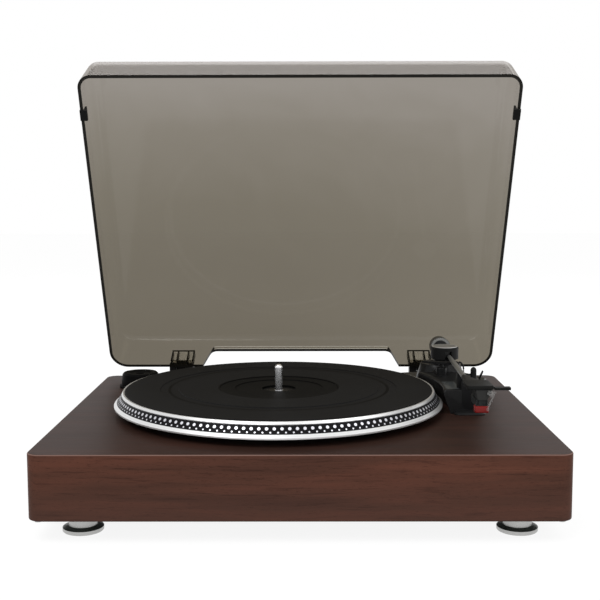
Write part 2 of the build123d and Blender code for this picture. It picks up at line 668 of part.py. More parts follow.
# Dust cover: a drafted tray with rounded edges, hinge sockets and a rear notch
TONGUE_BACK = SOCKET_DEPTH - SOCKET_WALL
with BuildPart() as dust_cover:
    with BuildSketch() as rim_outline:
        with Locations((0, -LID_D / 2)):
            Rectangle(LID_W, LID_D)
        fillet(rim_outline.vertices().group_by(Axis.Y)[0], LID_FRONT_CORNER_R)
        fillet(rim_outline.vertices().group_by(Axis.Y)[-1], LID_REAR_CORNER_R)
    extrude(amount=LID_H, taper=LID_DRAFT)
    fillet(dust_cover.faces().sort_by(Axis.Z)[-1].edges(), LID_EDGE_R)
    offset(amount=-LID_WALL, openings=dust_cover.faces().sort_by(Axis.Z)[0])
    with BuildSketch(Plane.XZ.offset(-1)) as notch:
        with BuildLine():
            Polyline(
                (-NOTCH_RIM_W / 2, -1),
                (NOTCH_RIM_W / 2, -1),
                (NOTCH_INNER_W / 2, NOTCH_H),
                (-NOTCH_INNER_W / 2, NOTCH_H),
                close=True,
            )
        make_face()
        fillet(notch.vertices().group_by(Axis.Y)[-1], NOTCH_R)
    extrude(amount=LID_WALL * 2 + 2, mode=Mode.SUBTRACT)
    with BuildSketch(Plane.XY.offset(SOCKET_BOTTOM)):
        with Locations((-HINGE_X, -1.5), (HINGE_X, -1.5)):
            Rectangle(HINGE_W, SOCKET_DEPTH + 1.5, align=(Align.CENTER, Align.MIN))
    extrude(amount=SOCKET_TOP - SOCKET_BOTTOM)
    with BuildSketch(Plane.XY.offset(SOCKET_BOTTOM)):
        with Locations((-HINGE_X, TONGUE_BACK), (HINGE_X, TONGUE_BACK)):
            Rectangle(HINGE_W - 2 * SOCKET_WALL, HINGE_TONGUE_T, align=(Align.CENTER, Align.MAX))
    extrude(amount=SOCKET_TOP - SOCKET_BOTTOM - SOCKET_WALL, mode=Mode.SUBTRACT)
    with BuildSketch(Plane.XY.offset(SOCKET_BOTTOM)):
        with Locations((-HINGE_X, TONGUE_BACK), (HINGE_X, TONGUE_BACK)):
            Rectangle(HINGE_TONGUE_W + 2 * SOCKET_WALL, HINGE_TONGUE_T, align=(Align.CENTER, Align.MAX))
            Rectangle(HINGE_TONGUE_W, HINGE_TONGUE_T, align=(Align.CENTER, Align.MAX), mode=Mode.SUBTRACT)
    extrude(amount=SOCKET_TOP - SOCKET_BOTTOM - SOCKET_WALL)
dust_cover.part = dust_cover.part.moved(LID_PLANE.location)
dust_cover.part.label = "dust_cover"
export_step(dust_cover.part, "parts/dust_cover.step")

# Rubber bumpers clipped over the side rims, and soft pads at the front corners
BUMPER_CLIP_T = 1.6
BUMPER_CLIP_H = 8.0
with BuildPart() as lid_bumpers:
    for side in (-1, 1):
        with BuildSketch(Plane.XY.offset(-BUMPER_H)):
            with Locations((side * (LID_W - BUMPER_W) / 2, BUMPER_FROM_FRONT - LID_D)):
                Rectangle(BUMPER_W, BUMPER_L)
        extrude(amount=BUMPER_H)
        with BuildSketch():
            with Locations((side * (LID_W / 2 - LID_WALL - 0.3), BUMPER_FROM_FRONT - LID_D)):
                Rectangle(BUMPER_CLIP_T, BUMPER_L, align=(Align.MAX if side > 0 else Align.MIN, Align.CENTER))
        extrude(amount=BUMPER_CLIP_H)
lid_bumpers.part = lid_bumpers.part.moved(LID_PLANE.location)
lid_bumpers.part.label = "lid_bumpers"
export_step(lid_bumpers.part, "parts/lid_bumpers.step")


# Cover hinges: a fork on the plinth, a tongue in the cover socket and a pin
HINGE_SLOT_W = HINGE_TONGUE_W + 2 * HINGE_SIDE_GAP
HINGE_SLOT_FLOOR = HINGE_Z - HINGE_BARREL_R - 0.4
for side, hinge_x in HINGE_PLACES.items():
    with BuildPart() as hinge_base:
        with BuildSketch(Plane.YZ.offset(hinge_x)):
            with BuildLine():
                Polyline(
                    (HINGE_Y - HINGE_BARREL_R, TOP_Z),
                    (HINGE_Y - HINGE_BARREL_R, HINGE_Z),
                    (HINGE_Y + HINGE_BARREL_R, HINGE_Z),
                    (REAR_Y + HINGE_FLANGE_T, HINGE_Z - 2.5),
                    (REAR_Y + HINGE_FLANGE_T, TOP_Z - HINGE_FLANGE_H),
                    (REAR_Y, TOP_Z - HINGE_FLANGE_H),
                    (REAR_Y, TOP_Z),
                    close=True,
                )
            make_face()
            with Locations((HINGE_Y, HINGE_Z)):
                Circle(HINGE_BARREL_R)
        extrude(amount=HINGE_W / 2, both=True)
        with BuildSketch(Plane.XY.offset(HINGE_SLOT_FLOOR)):
            with Locations((hinge_x, HINGE_Y)):
                Rectangle(HINGE_SLOT_W, 4 * HINGE_BARREL_R)
        extrude(amount=3 * HINGE_BARREL_R, mode=Mode.SUBTRACT)
        with BuildSketch(Plane.YZ.offset(hinge_x)):
            with Locations((HINGE_Y, HINGE_Z)):
                Circle(HINGE_PIN_R)
        extrude(amount=HINGE_W / 2 - 1.5, both=True, mode=Mode.SUBTRACT)
        with BuildSketch(Plane.XZ.offset(-REAR_Y)):
            with Locations(*[(hinge_x, z) for z in HINGE_SCREW_Z]):
                Circle(SCREW_R + SCREW_GRIP)
        extrude(amount=-HINGE_FLANGE_T, mode=Mode.SUBTRACT)
    hinge_base.part.label = f"hinge_base_{side}"
    export_step(hinge_base.part, f"parts/hinge_base_{side}.step")

    with BuildPart() as hinge_leaf:
        with BuildSketch(Plane.YZ):
            with Locations((HINGE_PIN_BEHIND, HINGE_PIN_ABOVE)):
                Circle(HINGE_BARREL_R)
            with Locations((TONGUE_BACK, HINGE_PIN_ABOVE)):
                Rectangle(HINGE_TONGUE_T, HINGE_TONGUE_TOP - HINGE_PIN_ABOVE, align=(Align.MAX, Align.MIN))
            with Locations((HINGE_PIN_BEHIND, HINGE_PIN_ABOVE)):
                Circle(HINGE_PIN_R + BEARING_CLEARANCE, mode=Mode.SUBTRACT)
        extrude(amount=HINGE_TONGUE_W / 2, both=True)
    hinge_leaf.part = hinge_leaf.part.moved(LID_PLANE.location * Location((hinge_x - PLINTH_X, 0, 0)))
    hinge_leaf.part.label = f"hinge_leaf_{side}"
    export_step(hinge_leaf.part, f"parts/hinge_leaf_{side}.step")

with BuildPart() as hinge_pins:
    for hinge_x in HINGE_PLACES.values():
        with BuildSketch(Plane.YZ.offset(hinge_x)):
            with Locations((HINGE_Y, HINGE_Z)):
                Circle(HINGE_PIN_R)
        extrude(amount=HINGE_W / 2 - 1.5, both=True)
hinge_pins.part.label = "hinge_pins"
export_step(hinge_pins.part, "parts/hinge_pins.step")

with BuildPart() as hinge_screws:
    with BuildSketch(Plane.XZ.offset(-REAR_Y - HINGE_FLANGE_T)):
        with Locations(*[(x, z) for x in HINGE_PLACES.values() for z in HINGE_SCREW_Z]):
            Circle(SCREW_R)
    extrude(amount=HINGE_FLANGE_T + HINGE_SCREW_L)
    with BuildSketch(Plane.XZ.offset(-REAR_Y - HINGE_FLANGE_T)):
        with Locations(*[(x, z) for x in HINGE_PLACES.values() for z in HINGE_SCREW_Z]):
            Circle(SCREW_HEAD_R)
    extrude(amount=-SCREW_HEAD_T)
hinge_screws.part.label = "hinge_screws"
export_step(hinge_screws.part, "parts/hinge_screws.step")


# Record adapter on its low peg at the rear left of the top
with BuildPart() as adapter_peg:
    with Locations((ADAPTER_X, ADAPTER_Y, TOP_Z)):
        Cylinder(PEG_BASE_R, PEG_BASE_T, align=(Align.CENTER, Align.CENTER, Align.MIN))
        Cylinder(ADAPTER_BORE_R - 0.1, PEG_H, align=(Align.CENTER, Align.CENTER, Align.MIN))
    chamfer(adapter_peg.edges().group_by(Axis.Z)[-1], 0.6)
adapter_peg.part.label = "adapter_peg"
export_step(adapter_peg.part, "parts/adapter_peg.step")

ADAPTER_FOOT_Z = TOP_Z + PEG_BASE_T
ADAPTER_TOP_Z = ADAPTER_FOOT_Z + ADAPTER_H
with BuildPart() as record_adapter:
    with BuildSketch(Plane.XZ):
        with BuildLine():
            Polyline(
                (ADAPTER_BORE_R, ADAPTER_FOOT_Z),
                (ADAPTER_R, ADAPTER_FOOT_Z),
                (ADAPTER_R, ADAPTER_FOOT_Z + 5),
                (ADAPTER_R - 0.8, ADAPTER_TOP_Z - 1.6),
                (ADAPTER_R - 2.4, ADAPTER_TOP_Z),
                (ADAPTER_BORE_R + 8, ADAPTER_TOP_Z),
                (ADAPTER_BORE_R + 6, ADAPTER_TOP_Z - 1.2),
                (ADAPTER_BORE_R + 1.2, ADAPTER_TOP_Z - 1.2),
                (ADAPTER_BORE_R, ADAPTER_TOP_Z - 2.4),
                close=True,
            )
        make_face()
    revolve(axis=Axis.Z)
record_adapter.part = record_adapter.part.moved(Location((ADAPTER_X, ADAPTER_Y, 0)))
record_adapter.part.label = "record_adapter"
export_step(record_adapter.part, "parts/record_adapter.step")


# Tonearm base: a moulding that hugs the platter, low at the rear round a raised mound
BASE_INNER_R = PLATTER_R + ARM_BASE_GAP
BASE_TOP_Z = TOP_Z + ARM_BASE_H
SLAB_TOP_Z = TOP_Z + ARM_SLAB_H
MOUND_TOP_Z = TOP_Z + MOUND_H
INNER_FRONT_X = math.sqrt(BASE_INNER_R**2 - ARM_BASE_FRONT**2)
INNER_REAR_ANGLE = 43.5
INNER_MID_ANGLE = 18.0
INNER_REAR = (
    BASE_INNER_R * math.cos(math.radians(INNER_REAR_ANGLE)),
    BASE_INNER_R * math.sin(math.radians(INNER_REAR_ANGLE)),
)
INNER_MID = (
    BASE_INNER_R * math.cos(math.radians(INNER_MID_ANGLE)),
    BASE_INNER_R * math.sin(math.radians(INNER_MID_ANGLE)),
)
OUTER_FRONT = (PIVOT_X + 16.8, ARM_BASE_FRONT)
OUTER_MID = (PIVOT_X + 29.8, 18.0)
OUTER_SIDE = (PIVOT_X + 35.8, 62.0)
OUTER_REAR = (PIVOT_X + 26.8, 104.0)
OUTER_BACK = (PIVOT_X - 2.2, 121.0)
OUTER_TIP = (PIVOT_X - 43.2, 116.0)
HOLLOW_OUTER = [
    (PIVOT_X + 12.3, -20.0),
    (PIVOT_X + 26.4, 18.0),
    (PIVOT_X + 32.6, 62.0),
    (PIVOT_X + 24.4, 101.0),
    (PIVOT_X - 3.2, 117.8),
    (PIVOT_X - 39.2, 112.8),
]
HOLLOW_INNER = [
    (
        (BASE_INNER_R + ARM_BASE_WALL) * math.cos(math.radians(angle)),
        (BASE_INNER_R + ARM_BASE_WALL) * math.sin(math.radians(angle)),
    )
    for angle in (-7.0, INNER_MID_ANGLE, 42.5)
]
DECK_SIDE = (PIVOT_X + 28.8, 40.0)
DECK_REAR = (PIVOT_X + 15.8, 66.0)
BUSH_FOOT_Z = MOUND_TOP_Z + PEDESTAL_H - ARM_BUSH_L
LIFT_ANGLE = 257.0
LIFT_POST_X = PIVOT_X + LIFT_R * math.cos(math.radians(LIFT_ANGLE))
LIFT_POST_Y = PIVOT_Y + LIFT_R * math.sin(math.radians(LIFT_ANGLE))
LEVER_SLOT_W = LEVER_T + 1.0
with BuildPart() as arm_base:
    with BuildSketch(Plane.XY.offset(TOP_Z)) as base_outline:
        with BuildLine():
            Line((INNER_FRONT_X, ARM_BASE_FRONT), OUTER_FRONT)
            Spline(OUTER_FRONT, OUTER_MID, OUTER_SIDE, OUTER_REAR, OUTER_BACK, OUTER_TIP)
            Line(OUTER_TIP, INNER_REAR)
            ThreePointArc(INNER_REAR, INNER_MID, (INNER_FRONT_X, ARM_BASE_FRONT))
        make_face()
        fillet(base_outline.vertices(), 3)
    extrude(amount=ARM_BASE_H)
    fillet(arm_base.faces().sort_by(Axis.Z)[-1].edges(), ARM_BASE_EDGE_R)
    with BuildSketch(Plane.XY.offset(SLAB_TOP_Z)):
        with BuildLine():
            Polyline(
                (PLATTER_R, DECK_REAR[1] + MOUND_R),
                (PLATTER_R - HUB_R * 2, DECK_REAR[1]),
                DECK_REAR,
                DECK_SIDE,
                (OUTER_SIDE[0] + MOUND_R, OUTER_MID[1] + MOUND_R),
                (OUTER_SIDE[0] + MOUND_R, PLATTER_R),
                (OUTER_TIP[0] - MOUND_R, PLATTER_R),
                (OUTER_TIP[0] - MOUND_R, DECK_REAR[1] + 4),
                (PLATTER_R - HUB_R * 2, DECK_REAR[1] + 4),
                close=True,
            )
        make_face()
    extrude(amount=ARM_BASE_H, mode=Mode.SUBTRACT)
    with BuildSketch(Plane.XY.offset(TOP_Z)):
        with BuildLine():
            hollow_side = Polyline(*HOLLOW_OUTER)
            hollow_arc = ThreePointArc(*HOLLOW_INNER)
            Line(hollow_side @ 0, hollow_arc @ 0)
            Line(hollow_side @ 1, hollow_arc @ 1)
        make_face()
        with Locations((PIVOT_X, PIVOT_Y)):
            Circle(ARM_BUSH_R + 4, mode=Mode.SUBTRACT)
        with Locations((LIFT_POST_X, LIFT_POST_Y)):
            Circle(LIFT_POST_R + 2.2, mode=Mode.SUBTRACT)
    extrude(amount=ARM_SLAB_H - ARM_BASE_WALL, mode=Mode.SUBTRACT)
    with Locations((PIVOT_X + MOUND_SIDE, PIVOT_Y + MOUND_BACK, SLAB_TOP_Z)):
        Cone(MOUND_FOOT_R, MOUND_R, MOUND_H - ARM_SLAB_H, align=(Align.CENTER, Align.CENTER, Align.MIN))
    fillet(arm_base.edges().group_by(Axis.Z)[-1], 3)
    with Locations((PIVOT_X, PIVOT_Y, MOUND_TOP_Z)):
        Cylinder(PEDESTAL_R, PEDESTAL_H, align=(Align.CENTER, Align.CENTER, Align.MIN))
    fillet(arm_base.edges().group_by(Axis.Z)[-1], 1)
    with Locations((LIFT_POST_X, LIFT_POST_Y, BASE_TOP_Z)):
        Cylinder(LIFT_TOWER_R, LIFT_TOWER_H, align=(Align.CENTER, Align.CENTER, Align.MIN))
    with Locations((PIVOT_X, PIVOT_Y, MOUND_TOP_Z + PEDESTAL_H)):
        Hole(ARM_BUSH_R, MOUND_H + PEDESTAL_H)
    with Locations((LIFT_POST_X, LIFT_POST_Y, BASE_TOP_Z + LIFT_TOWER_H)):
        Hole(LIFT_POST_R + BEARING_CLEARANCE, ARM_BASE_H + LIFT_TOWER_H)
    with BuildSketch(Plane.XY.offset(TOP_Z)):
        with Locations((LEVER_X, (OUTER_MID[1] + LEVER_PIN_Y) / 2)):
            Rectangle(LEVER_SLOT_W, LEVER_PIN_Y - OUTER_MID[1] + 22)
    extrude(amount=ARM_BASE_H, mode=Mode.SUBTRACT)
    with BuildSketch(Plane.YZ.offset(LEVER_X)):
        with Locations((LEVER_PIN_Y, LEVER_PIN_Z)):
            Circle(LEVER_PIN_R)
    extrude(amount=5, both=True, mode=Mode.SUBTRACT)
arm_base.part.label = "arm_base"
export_step(arm_base.part, "parts/arm_base.step")

with BuildPart() as arm_bush:
    with BuildSketch(Plane.XY.offset(BUSH_FOOT_Z)):
        with Locations((PIVOT_X, PIVOT_Y)):
            Circle(ARM_BUSH_R)
            Circle(ARM_SHAFT_R + BEARING_CLEARANCE, mode=Mode.SUBTRACT)
    extrude(amount=ARM_BUSH_L)
arm_bush.part.label = "arm_bush"
export_step(arm_bush.part, "parts/arm_bush.step")

with BuildPart() as arm_nut:
    with BuildSketch(Plane.XY.offset(INNER_TOP_Z)):
        with Locations((PIVOT_X, PIVOT_Y)):
            RegularPolygon(ARM_BUSH_R + 5, 6)
            Circle(ARM_BUSH_R, mode=Mode.SUBTRACT)
    extrude(amount=-4)
arm_nut.part.label = "arm_nut"
export_step(arm_nut.part, "parts/arm_nut.step")


# Tonearm pivot: a drum with windows for the tube, turning on a shaft
DRUM_FOOT_Z = MOUND_TOP_Z + PEDESTAL_H + DRUM_GAP
DRUM_TOP_Z = DRUM_FOOT_Z + DRUM_H
DRUM_FLOOR_T = 1.1
WINDOW_GAP = 0.9
REAR_WINDOW_W = 2 * STUB_R + 2
REAR_WINDOW_TOP_Z = DRUM_TOP_Z - DRUM_WALL
FLOOR_REACH = 7.6
with BuildPart() as arm_yoke:
    with Locations((PIVOT_X, PIVOT_Y, DRUM_FOOT_Z)):
        Cylinder(DRUM_R, DRUM_H, align=(Align.CENTER, Align.CENTER, Align.MIN))
    chamfer(arm_yoke.edges().group_by(Axis.Z)[-1], 1.3)
    with Locations((PIVOT_X, PIVOT_Y, DRUM_FOOT_Z + DRUM_FLOOR_T)):
        Cylinder(
            DRUM_R - DRUM_WALL,
            DRUM_H - DRUM_FLOOR_T - DRUM_WALL,
            align=(Align.CENTER, Align.CENTER, Align.MIN),
            mode=Mode.SUBTRACT,
        )
    with BuildSketch(Plane.XY.offset(DRUM_FOOT_Z)):
        with Locations((PIVOT_X + TUBE_SIDE, PIVOT_Y - FLOOR_REACH)):
            Rectangle(2 * (TUBE_REAR_R + WINDOW_GAP), DRUM_R, align=(Align.CENTER, Align.MAX))
    extrude(amount=ARM_Z + TUBE_REAR_R + WINDOW_GAP - DRUM_FOOT_Z, mode=Mode.SUBTRACT)
    with BuildSketch(Plane.XY.offset(DRUM_FOOT_Z)):
        with Locations((PIVOT_X, PIVOT_Y + FLOOR_REACH)):
            Rectangle(REAR_WINDOW_W, DRUM_R, align=(Align.CENTER, Align.MIN))
    extrude(amount=REAR_WINDOW_TOP_Z - DRUM_FOOT_Z, mode=Mode.SUBTRACT)
    with BuildSketch(Plane.YZ.offset(PIVOT_X)):
        with Locations((PIVOT_Y, ARM_Z)):
            Circle(PITCH_PIN_R)
    extrude(amount=DRUM_R - 0.8, both=True, mode=Mode.SUBTRACT)
    with Locations((PIVOT_X, PIVOT_Y, DRUM_FOOT_Z)):
        Cylinder(ARM_SHAFT_R, ARM_BUSH_L - 3, align=(Align.CENTER, Align.CENTER, Align.MAX))
arm_yoke.part.label = "arm_yoke"
export_step(arm_yoke.part, "parts/arm_yoke.step")

PIN_OVERLAP = 2.6
with BuildPart() as pitch_pins:
    for side in (-1, 1):
        with BuildSketch(Plane.YZ.offset(PIVOT_X + side * (GIMBAL_W / 2 - PIN_OVERLAP))):
            with Locations((PIVOT_Y, ARM_Z)):
                Circle(PITCH_PIN_R)
        extrude(amount=side * (DRUM_R - 0.8 - GIMBAL_W / 2 + PIN_OVERLAP))
pitch_pins.part.label = "pitch_pins"
export_step(pitch_pins.part, "parts/pitch_pins.step")

# Gimbal block with the rear stub that carries the weight
GIMBAL_FOOT_Z = DRUM_FOOT_Z + DRUM_FLOOR_T + 0.7
GIMBAL_TOP_Z = REAR_WINDOW_TOP_Z - 0.8
STUB_END_Y = WEIGHT_Y + WEIGHT_L + 6
with BuildPart() as arm_gimbal:
    with BuildSketch(Plane.XY.offset(GIMBAL_FOOT_Z)):
        with Locations((PIVOT_X, PIVOT_Y)):
            Rectangle(GIMBAL_W, GIMBAL_L)
    extrude(amount=GIMBAL_TOP_Z - GIMBAL_FOOT_Z)
    fillet(arm_gimbal.edges().filter_by(Axis.Z), 1.5)
    with BuildSketch(Plane.XZ.offset(-PIVOT_Y - GIMBAL_L / 2)):
        with Locations((PIVOT_X, STUB_Z)):
            Circle(STUB_R)
    extrude(amount=PIVOT_Y + GIMBAL_L / 2 - STUB_END_Y)
    with BuildSketch(Plane.YZ.offset(PIVOT_X)):
        with Locations((PIVOT_Y, ARM_Z)):
            Circle(PITCH_PIN_R + BEARING_CLEARANCE)
    extrude(amount=GIMBAL_W / 2, both=True, mode=Mode.SUBTRACT)
arm_gimbal.part.label = "arm_gimbal"
export_step(arm_gimbal.part, "parts/arm_gimbal.step")

# Tapered tube, hollow for the pickup wires
TUBE_REAR_Y = PIVOT_Y - GIMBAL_L / 2
with BuildPart() as arm_tube:
    with BuildSketch(Plane.XZ.offset(-TUBE_REAR_Y)):
        with Locations((PIVOT_X + TUBE_SIDE, ARM_Z)):
            Circle(TUBE_REAR_R)
    with BuildSketch(Plane.XZ.offset(-TUBE_END_Y)):
        with Locations((HEAD_X, ARM_Z)):
            Circle(TUBE_FRONT_R)
    loft()
    with BuildSketch(Plane.XZ.offset(-TUBE_REAR_Y)):
        with Locations((PIVOT_X + TUBE_SIDE, ARM_Z)):
            Circle(TUBE_BORE_R)
    with BuildSketch(Plane.XZ.offset(-TUBE_END_Y)):
        with Locations((HEAD_X, ARM_Z)):
            Circle(TUBE_BORE_R)
    loft(mode=Mode.SUBTRACT)
arm_tube.part.label = "arm_tube"
export_step(arm_tube.part, "parts/arm_tube.step")

# Head shell: a collar that widens into a flat plate, with a leaning body below it
COLLAR_R = TUBE_FRONT_R + 1.5
COLLAR_L = 12.0
PLATE_REAR_Y = TUBE_END_Y - COLLAR_L - 22
HEAD_PLATE_Z = HEAD_TOP_Z - HEAD_PLATE_T
GUARD_X = HEAD_X + HEAD_BODY_FOOT_RIGHT + 1
GUARD_Z = HEAD_PLATE_Z - 3
with BuildPart() as head_shell:
    with BuildSketch(Plane.XZ.offset(-TUBE_END_Y)):
        with Locations((HEAD_X, ARM_Z)):
            Circle(COLLAR_R)
    extrude(amount=COLLAR_L)
    fillet(head_shell.faces().sort_by(Axis.Y)[-1].edges(), 1.2)
    with BuildSketch(Plane.XZ.offset(-TUBE_END_Y + COLLAR_L)):
        with Locations((HEAD_X, ARM_Z)):
            RectangleRounded(2 * COLLAR_R, 2 * COLLAR_R, COLLAR_R - 0.1)
    with BuildSketch(Plane.XZ.offset(-PLATE_REAR_Y)):
        with Locations((HEAD_X, HEAD_TOP_Z - 2.5)):
            RectangleRounded(HEAD_REAR_W, 5, 1.5)
    loft()
    with BuildSketch(Plane.XY.offset(HEAD_PLATE_Z)) as plate_outline:
        with BuildLine():
            Polyline(
                (HEAD_X - HEAD_REAR_W / 2, PLATE_REAR_Y),
                (HEAD_X - HEAD_LEFT, (PLATE_REAR_Y + HEAD_FRONT_Y) / 2),
                (HEAD_X - HEAD_LEFT, HEAD_FRONT_Y),
                (HEAD_X + HEAD_RIGHT, HEAD_FRONT_Y),
                (HEAD_X + HEAD_RIGHT, (PLATE_REAR_Y + HEAD_FRONT_Y) / 2),
                (HEAD_X + HEAD_REAR_W / 2, PLATE_REAR_Y),
                close=True,
            )
        make_face()
        fillet(plate_outline.vertices().group_by(Axis.Y)[0].sort_by(Axis.X)[0], HEAD_CORNER_R)
    extrude(amount=HEAD_PLATE_T)
    with BuildSketch(Plane.XZ.offset(-HEAD_FRONT_Y)):
        with BuildLine():
            Polyline(
                (HEAD_X - HEAD_BODY_TOP_LEFT, HEAD_PLATE_Z + 1),
                (HEAD_X + HEAD_RIGHT, HEAD_PLATE_Z + 1),
                (HEAD_X + HEAD_BODY_FOOT_RIGHT, HEAD_BODY_FOOT_Z),
                (HEAD_X - HEAD_BODY_FOOT_LEFT, HEAD_BODY_FOOT_Z),
                close=True,
            )
        make_face()
    extrude(amount=-HEAD_BODY_L)
    with BuildSketch(Plane.XZ.offset(-HEAD_FRONT_Y)):
        with Locations((GUARD_X, GUARD_Z)):
            Circle(GUARD_PIN_R)
    extrude(amount=-GUARD_PIN_L, mode=Mode.SUBTRACT)
head_shell.part.label = "head_shell"
export_step(head_shell.part, "parts/head_shell.step")

CARTRIDGE_X = HEAD_X + CARTRIDGE_SIDE
WINDOW_DEPTH = 1.2
with BuildPart() as cartridge:
    with BuildSketch(Plane.XY.offset(HEAD_BODY_FOOT_Z - CARTRIDGE_H)) as cartridge_outline:
        with Locations((CARTRIDGE_X, HEAD_FRONT_Y + 0.5)):
            Rectangle(CARTRIDGE_W, HEAD_BODY_L - 4, align=(Align.CENTER, Align.MIN))
        fillet(cartridge_outline.vertices(), 0.6)
    extrude(amount=CARTRIDGE_H)
    with BuildSketch(Plane.XZ.offset(-HEAD_FRONT_Y - 0.5)):
        with Locations((CARTRIDGE_X - CARTRIDGE_W / 2 + 1.4, HEAD_BODY_FOOT_Z)):
            Rectangle(1.6, CARTRIDGE_H - 1.4, align=(Align.CENTER, Align.MAX))
        with Locations((CARTRIDGE_X + CARTRIDGE_W / 2 - 2.6, HEAD_BODY_FOOT_Z)):
            Rectangle(3.8, CARTRIDGE_H - 1.4, align=(Align.CENTER, Align.MAX))
    extrude(amount=-WINDOW_DEPTH, mode=Mode.SUBTRACT)
cartridge.part.label = "cartridge"
export_step(cartridge.part, "parts/cartridge.step")

# Stylus holder: a wedge that narrows and thins towards the rear, with its needle below
STYLUS_TOP_Z = HEAD_BODY_FOOT_Z - CARTRIDGE_H
STYLUS_X = HEAD_X + STYLUS_SIDE
STYLUS_FRONT_Y = HEAD_FRONT_Y - 0.5
NEEDLE_Y = HEAD_FRONT_Y + 5
with BuildPart() as stylus_holder:
    with BuildSketch(Plane.XY.offset(STYLUS_TOP_Z)):
        with BuildLine():
            Polyline(
                (STYLUS_X - STYLUS_W / 2, STYLUS_FRONT_Y),
                (STYLUS_X + STYLUS_W / 2, STYLUS_FRONT_Y),
                (STYLUS_X + STYLUS_W / 2, NEEDLE_Y),
                (STYLUS_X + STYLUS_REAR_W / 2, STYLUS_FRONT_Y + STYLUS_L),
                (STYLUS_X - STYLUS_REAR_W / 2, STYLUS_FRONT_Y + STYLUS_L),
                (STYLUS_X - STYLUS_W / 2, NEEDLE_Y),
                close=True,
            )
        make_face()
    extrude(amount=-STYLUS_H)
    with BuildSketch(Plane.YZ.offset(STYLUS_X)):
        with BuildLine():
            Polyline(
                (NEEDLE_Y + 3, STYLUS_TOP_Z - STYLUS_H),
                (STYLUS_FRONT_Y + STYLUS_L, STYLUS_TOP_Z - 2),
                (STYLUS_FRONT_Y + STYLUS_L, STYLUS_TOP_Z - STYLUS_H),
                close=True,
            )
        make_face()
    extrude(amount=STYLUS_W, both=True, mode=Mode.SUBTRACT)
stylus_holder.part.label = "stylus_holder"
export_step(stylus_holder.part, "parts/stylus_holder.step")

with BuildPart() as needle:
    with Locations((STYLUS_X, NEEDLE_Y, STYLUS_TOP_Z - STYLUS_H)):
        Cone(0.25, 0.9, NEEDLE_DROP, align=(Align.CENTER, Align.CENTER, Align.MAX))
needle.part.label = "needle"
export_step(needle.part, "parts/needle.step")

# Finger lift at the right of the plate, and the clear stylus guard beside the body
FINGER_Y = -108.0
FINGER_X = HEAD_X + HEAD_RIGHT
with BuildPart() as finger_lift:
    with BuildSketch(Plane.XZ.offset(-FINGER_Y)):
        with BuildLine():
            Polyline(
                (FINGER_X, HEAD_PLATE_Z),
                (FINGER_X + 2, HEAD_PLATE_Z - FINGER_T),
                (FINGER_X + FINGER_L, HEAD_PLATE_Z - FINGER_T),
                (FINGER_X + FINGER_L, HEAD_PLATE_Z),
                (FINGER_X + 3, HEAD_PLATE_Z - 0.4),
                (FINGER_X, HEAD_PLATE_Z + 1.6),
                close=True,
            )
        make_face()
    extrude(amount=6)
finger_lift.part.label = "finger_lift"
export_step(finger_lift.part, "parts/finger_lift.step")

GUARD_FACE_Y = STYLUS_FRONT_Y - 0.2
GUARD_TIP_X = GUARD_X - 3
GUARD_TIP_Z = GUARD_Z - GUARD_DROP
with BuildPart() as stylus_guard:
    with BuildSketch(Plane.XZ.offset(-GUARD_FACE_Y)):
        with BuildLine():
            Polyline(
                (GUARD_X - 0.5, GUARD_Z + 2),
                (GUARD_X + 4.6, GUARD_Z + 1),
                (GUARD_TIP_X + 1.4, GUARD_TIP_Z),
                (GUARD_TIP_X - 0.6, GUARD_TIP_Z + 1),
                (GUARD_X + 1.6, GUARD_Z - 3.4),
                (GUARD_X - 1.6, GUARD_Z - 1.6),
                close=True,
            )
        make_face()
        with Locations((GUARD_X, GUARD_Z)):
            Circle(2.2)
            Circle(GUARD_PIN_R + BEARING_CLEARANCE, mode=Mode.SUBTRACT)
    extrude(amount=GUARD_T)
stylus_guard.part.label = "stylus_guard"
export_step(stylus_guard.part, "parts/stylus_guard.step")

GUARD_CAP_Y = GUARD_FACE_Y - GUARD_T - 0.1
with BuildPart() as guard_pin:
    with BuildSketch(Plane.XZ.offset(-GUARD_CAP_Y)):
        with Locations((GUARD_X, GUARD_Z)):
            Circle(GUARD_PIN_R)
    extrude(amount=GUARD_CAP_Y - HEAD_FRONT_Y - GUARD_PIN_L)
    with BuildSketch(Plane.XZ.offset(-GUARD_CAP_Y)):
        with Locations((GUARD_X, GUARD_Z)):
            Circle(GUARD_PIN_R + 0.7)
    extrude(amount=0.6)
guard_pin.part.label = "guard_pin"
export_step(guard_pin.part, "parts/guard_pin.step")


# Weight and force dial on the stub
with BuildPart() as counterweight:
    with BuildSketch(Plane.XZ.offset(-WEIGHT_Y)):
        with Locations((PIVOT_X, STUB_Z)):
            Circle(WEIGHT_R)
    extrude(amount=-WEIGHT_L)
    chamfer(counterweight.edges().group_by(Axis.Y)[-1], 1.2)
    with BuildSketch(Plane.XZ.offset(-WEIGHT_Y)):
        with Locations((PIVOT_X, STUB_Z)):
            Circle(DIAL_HUB_R)
    extrude(amount=DIAL_T + 0.3)
    with BuildSketch(Plane.XZ.offset(-WEIGHT_Y + DIAL_T + 0.3)):
        with Locations((PIVOT_X, STUB_Z)):
            Circle(STUB_R + SLIDE_CLEARANCE)
    extrude(amount=-(WEIGHT_L + DIAL_T + 0.3), mode=Mode.SUBTRACT)
counterweight.part.label = "counterweight"
export_step(counterweight.part, "parts/counterweight.step")

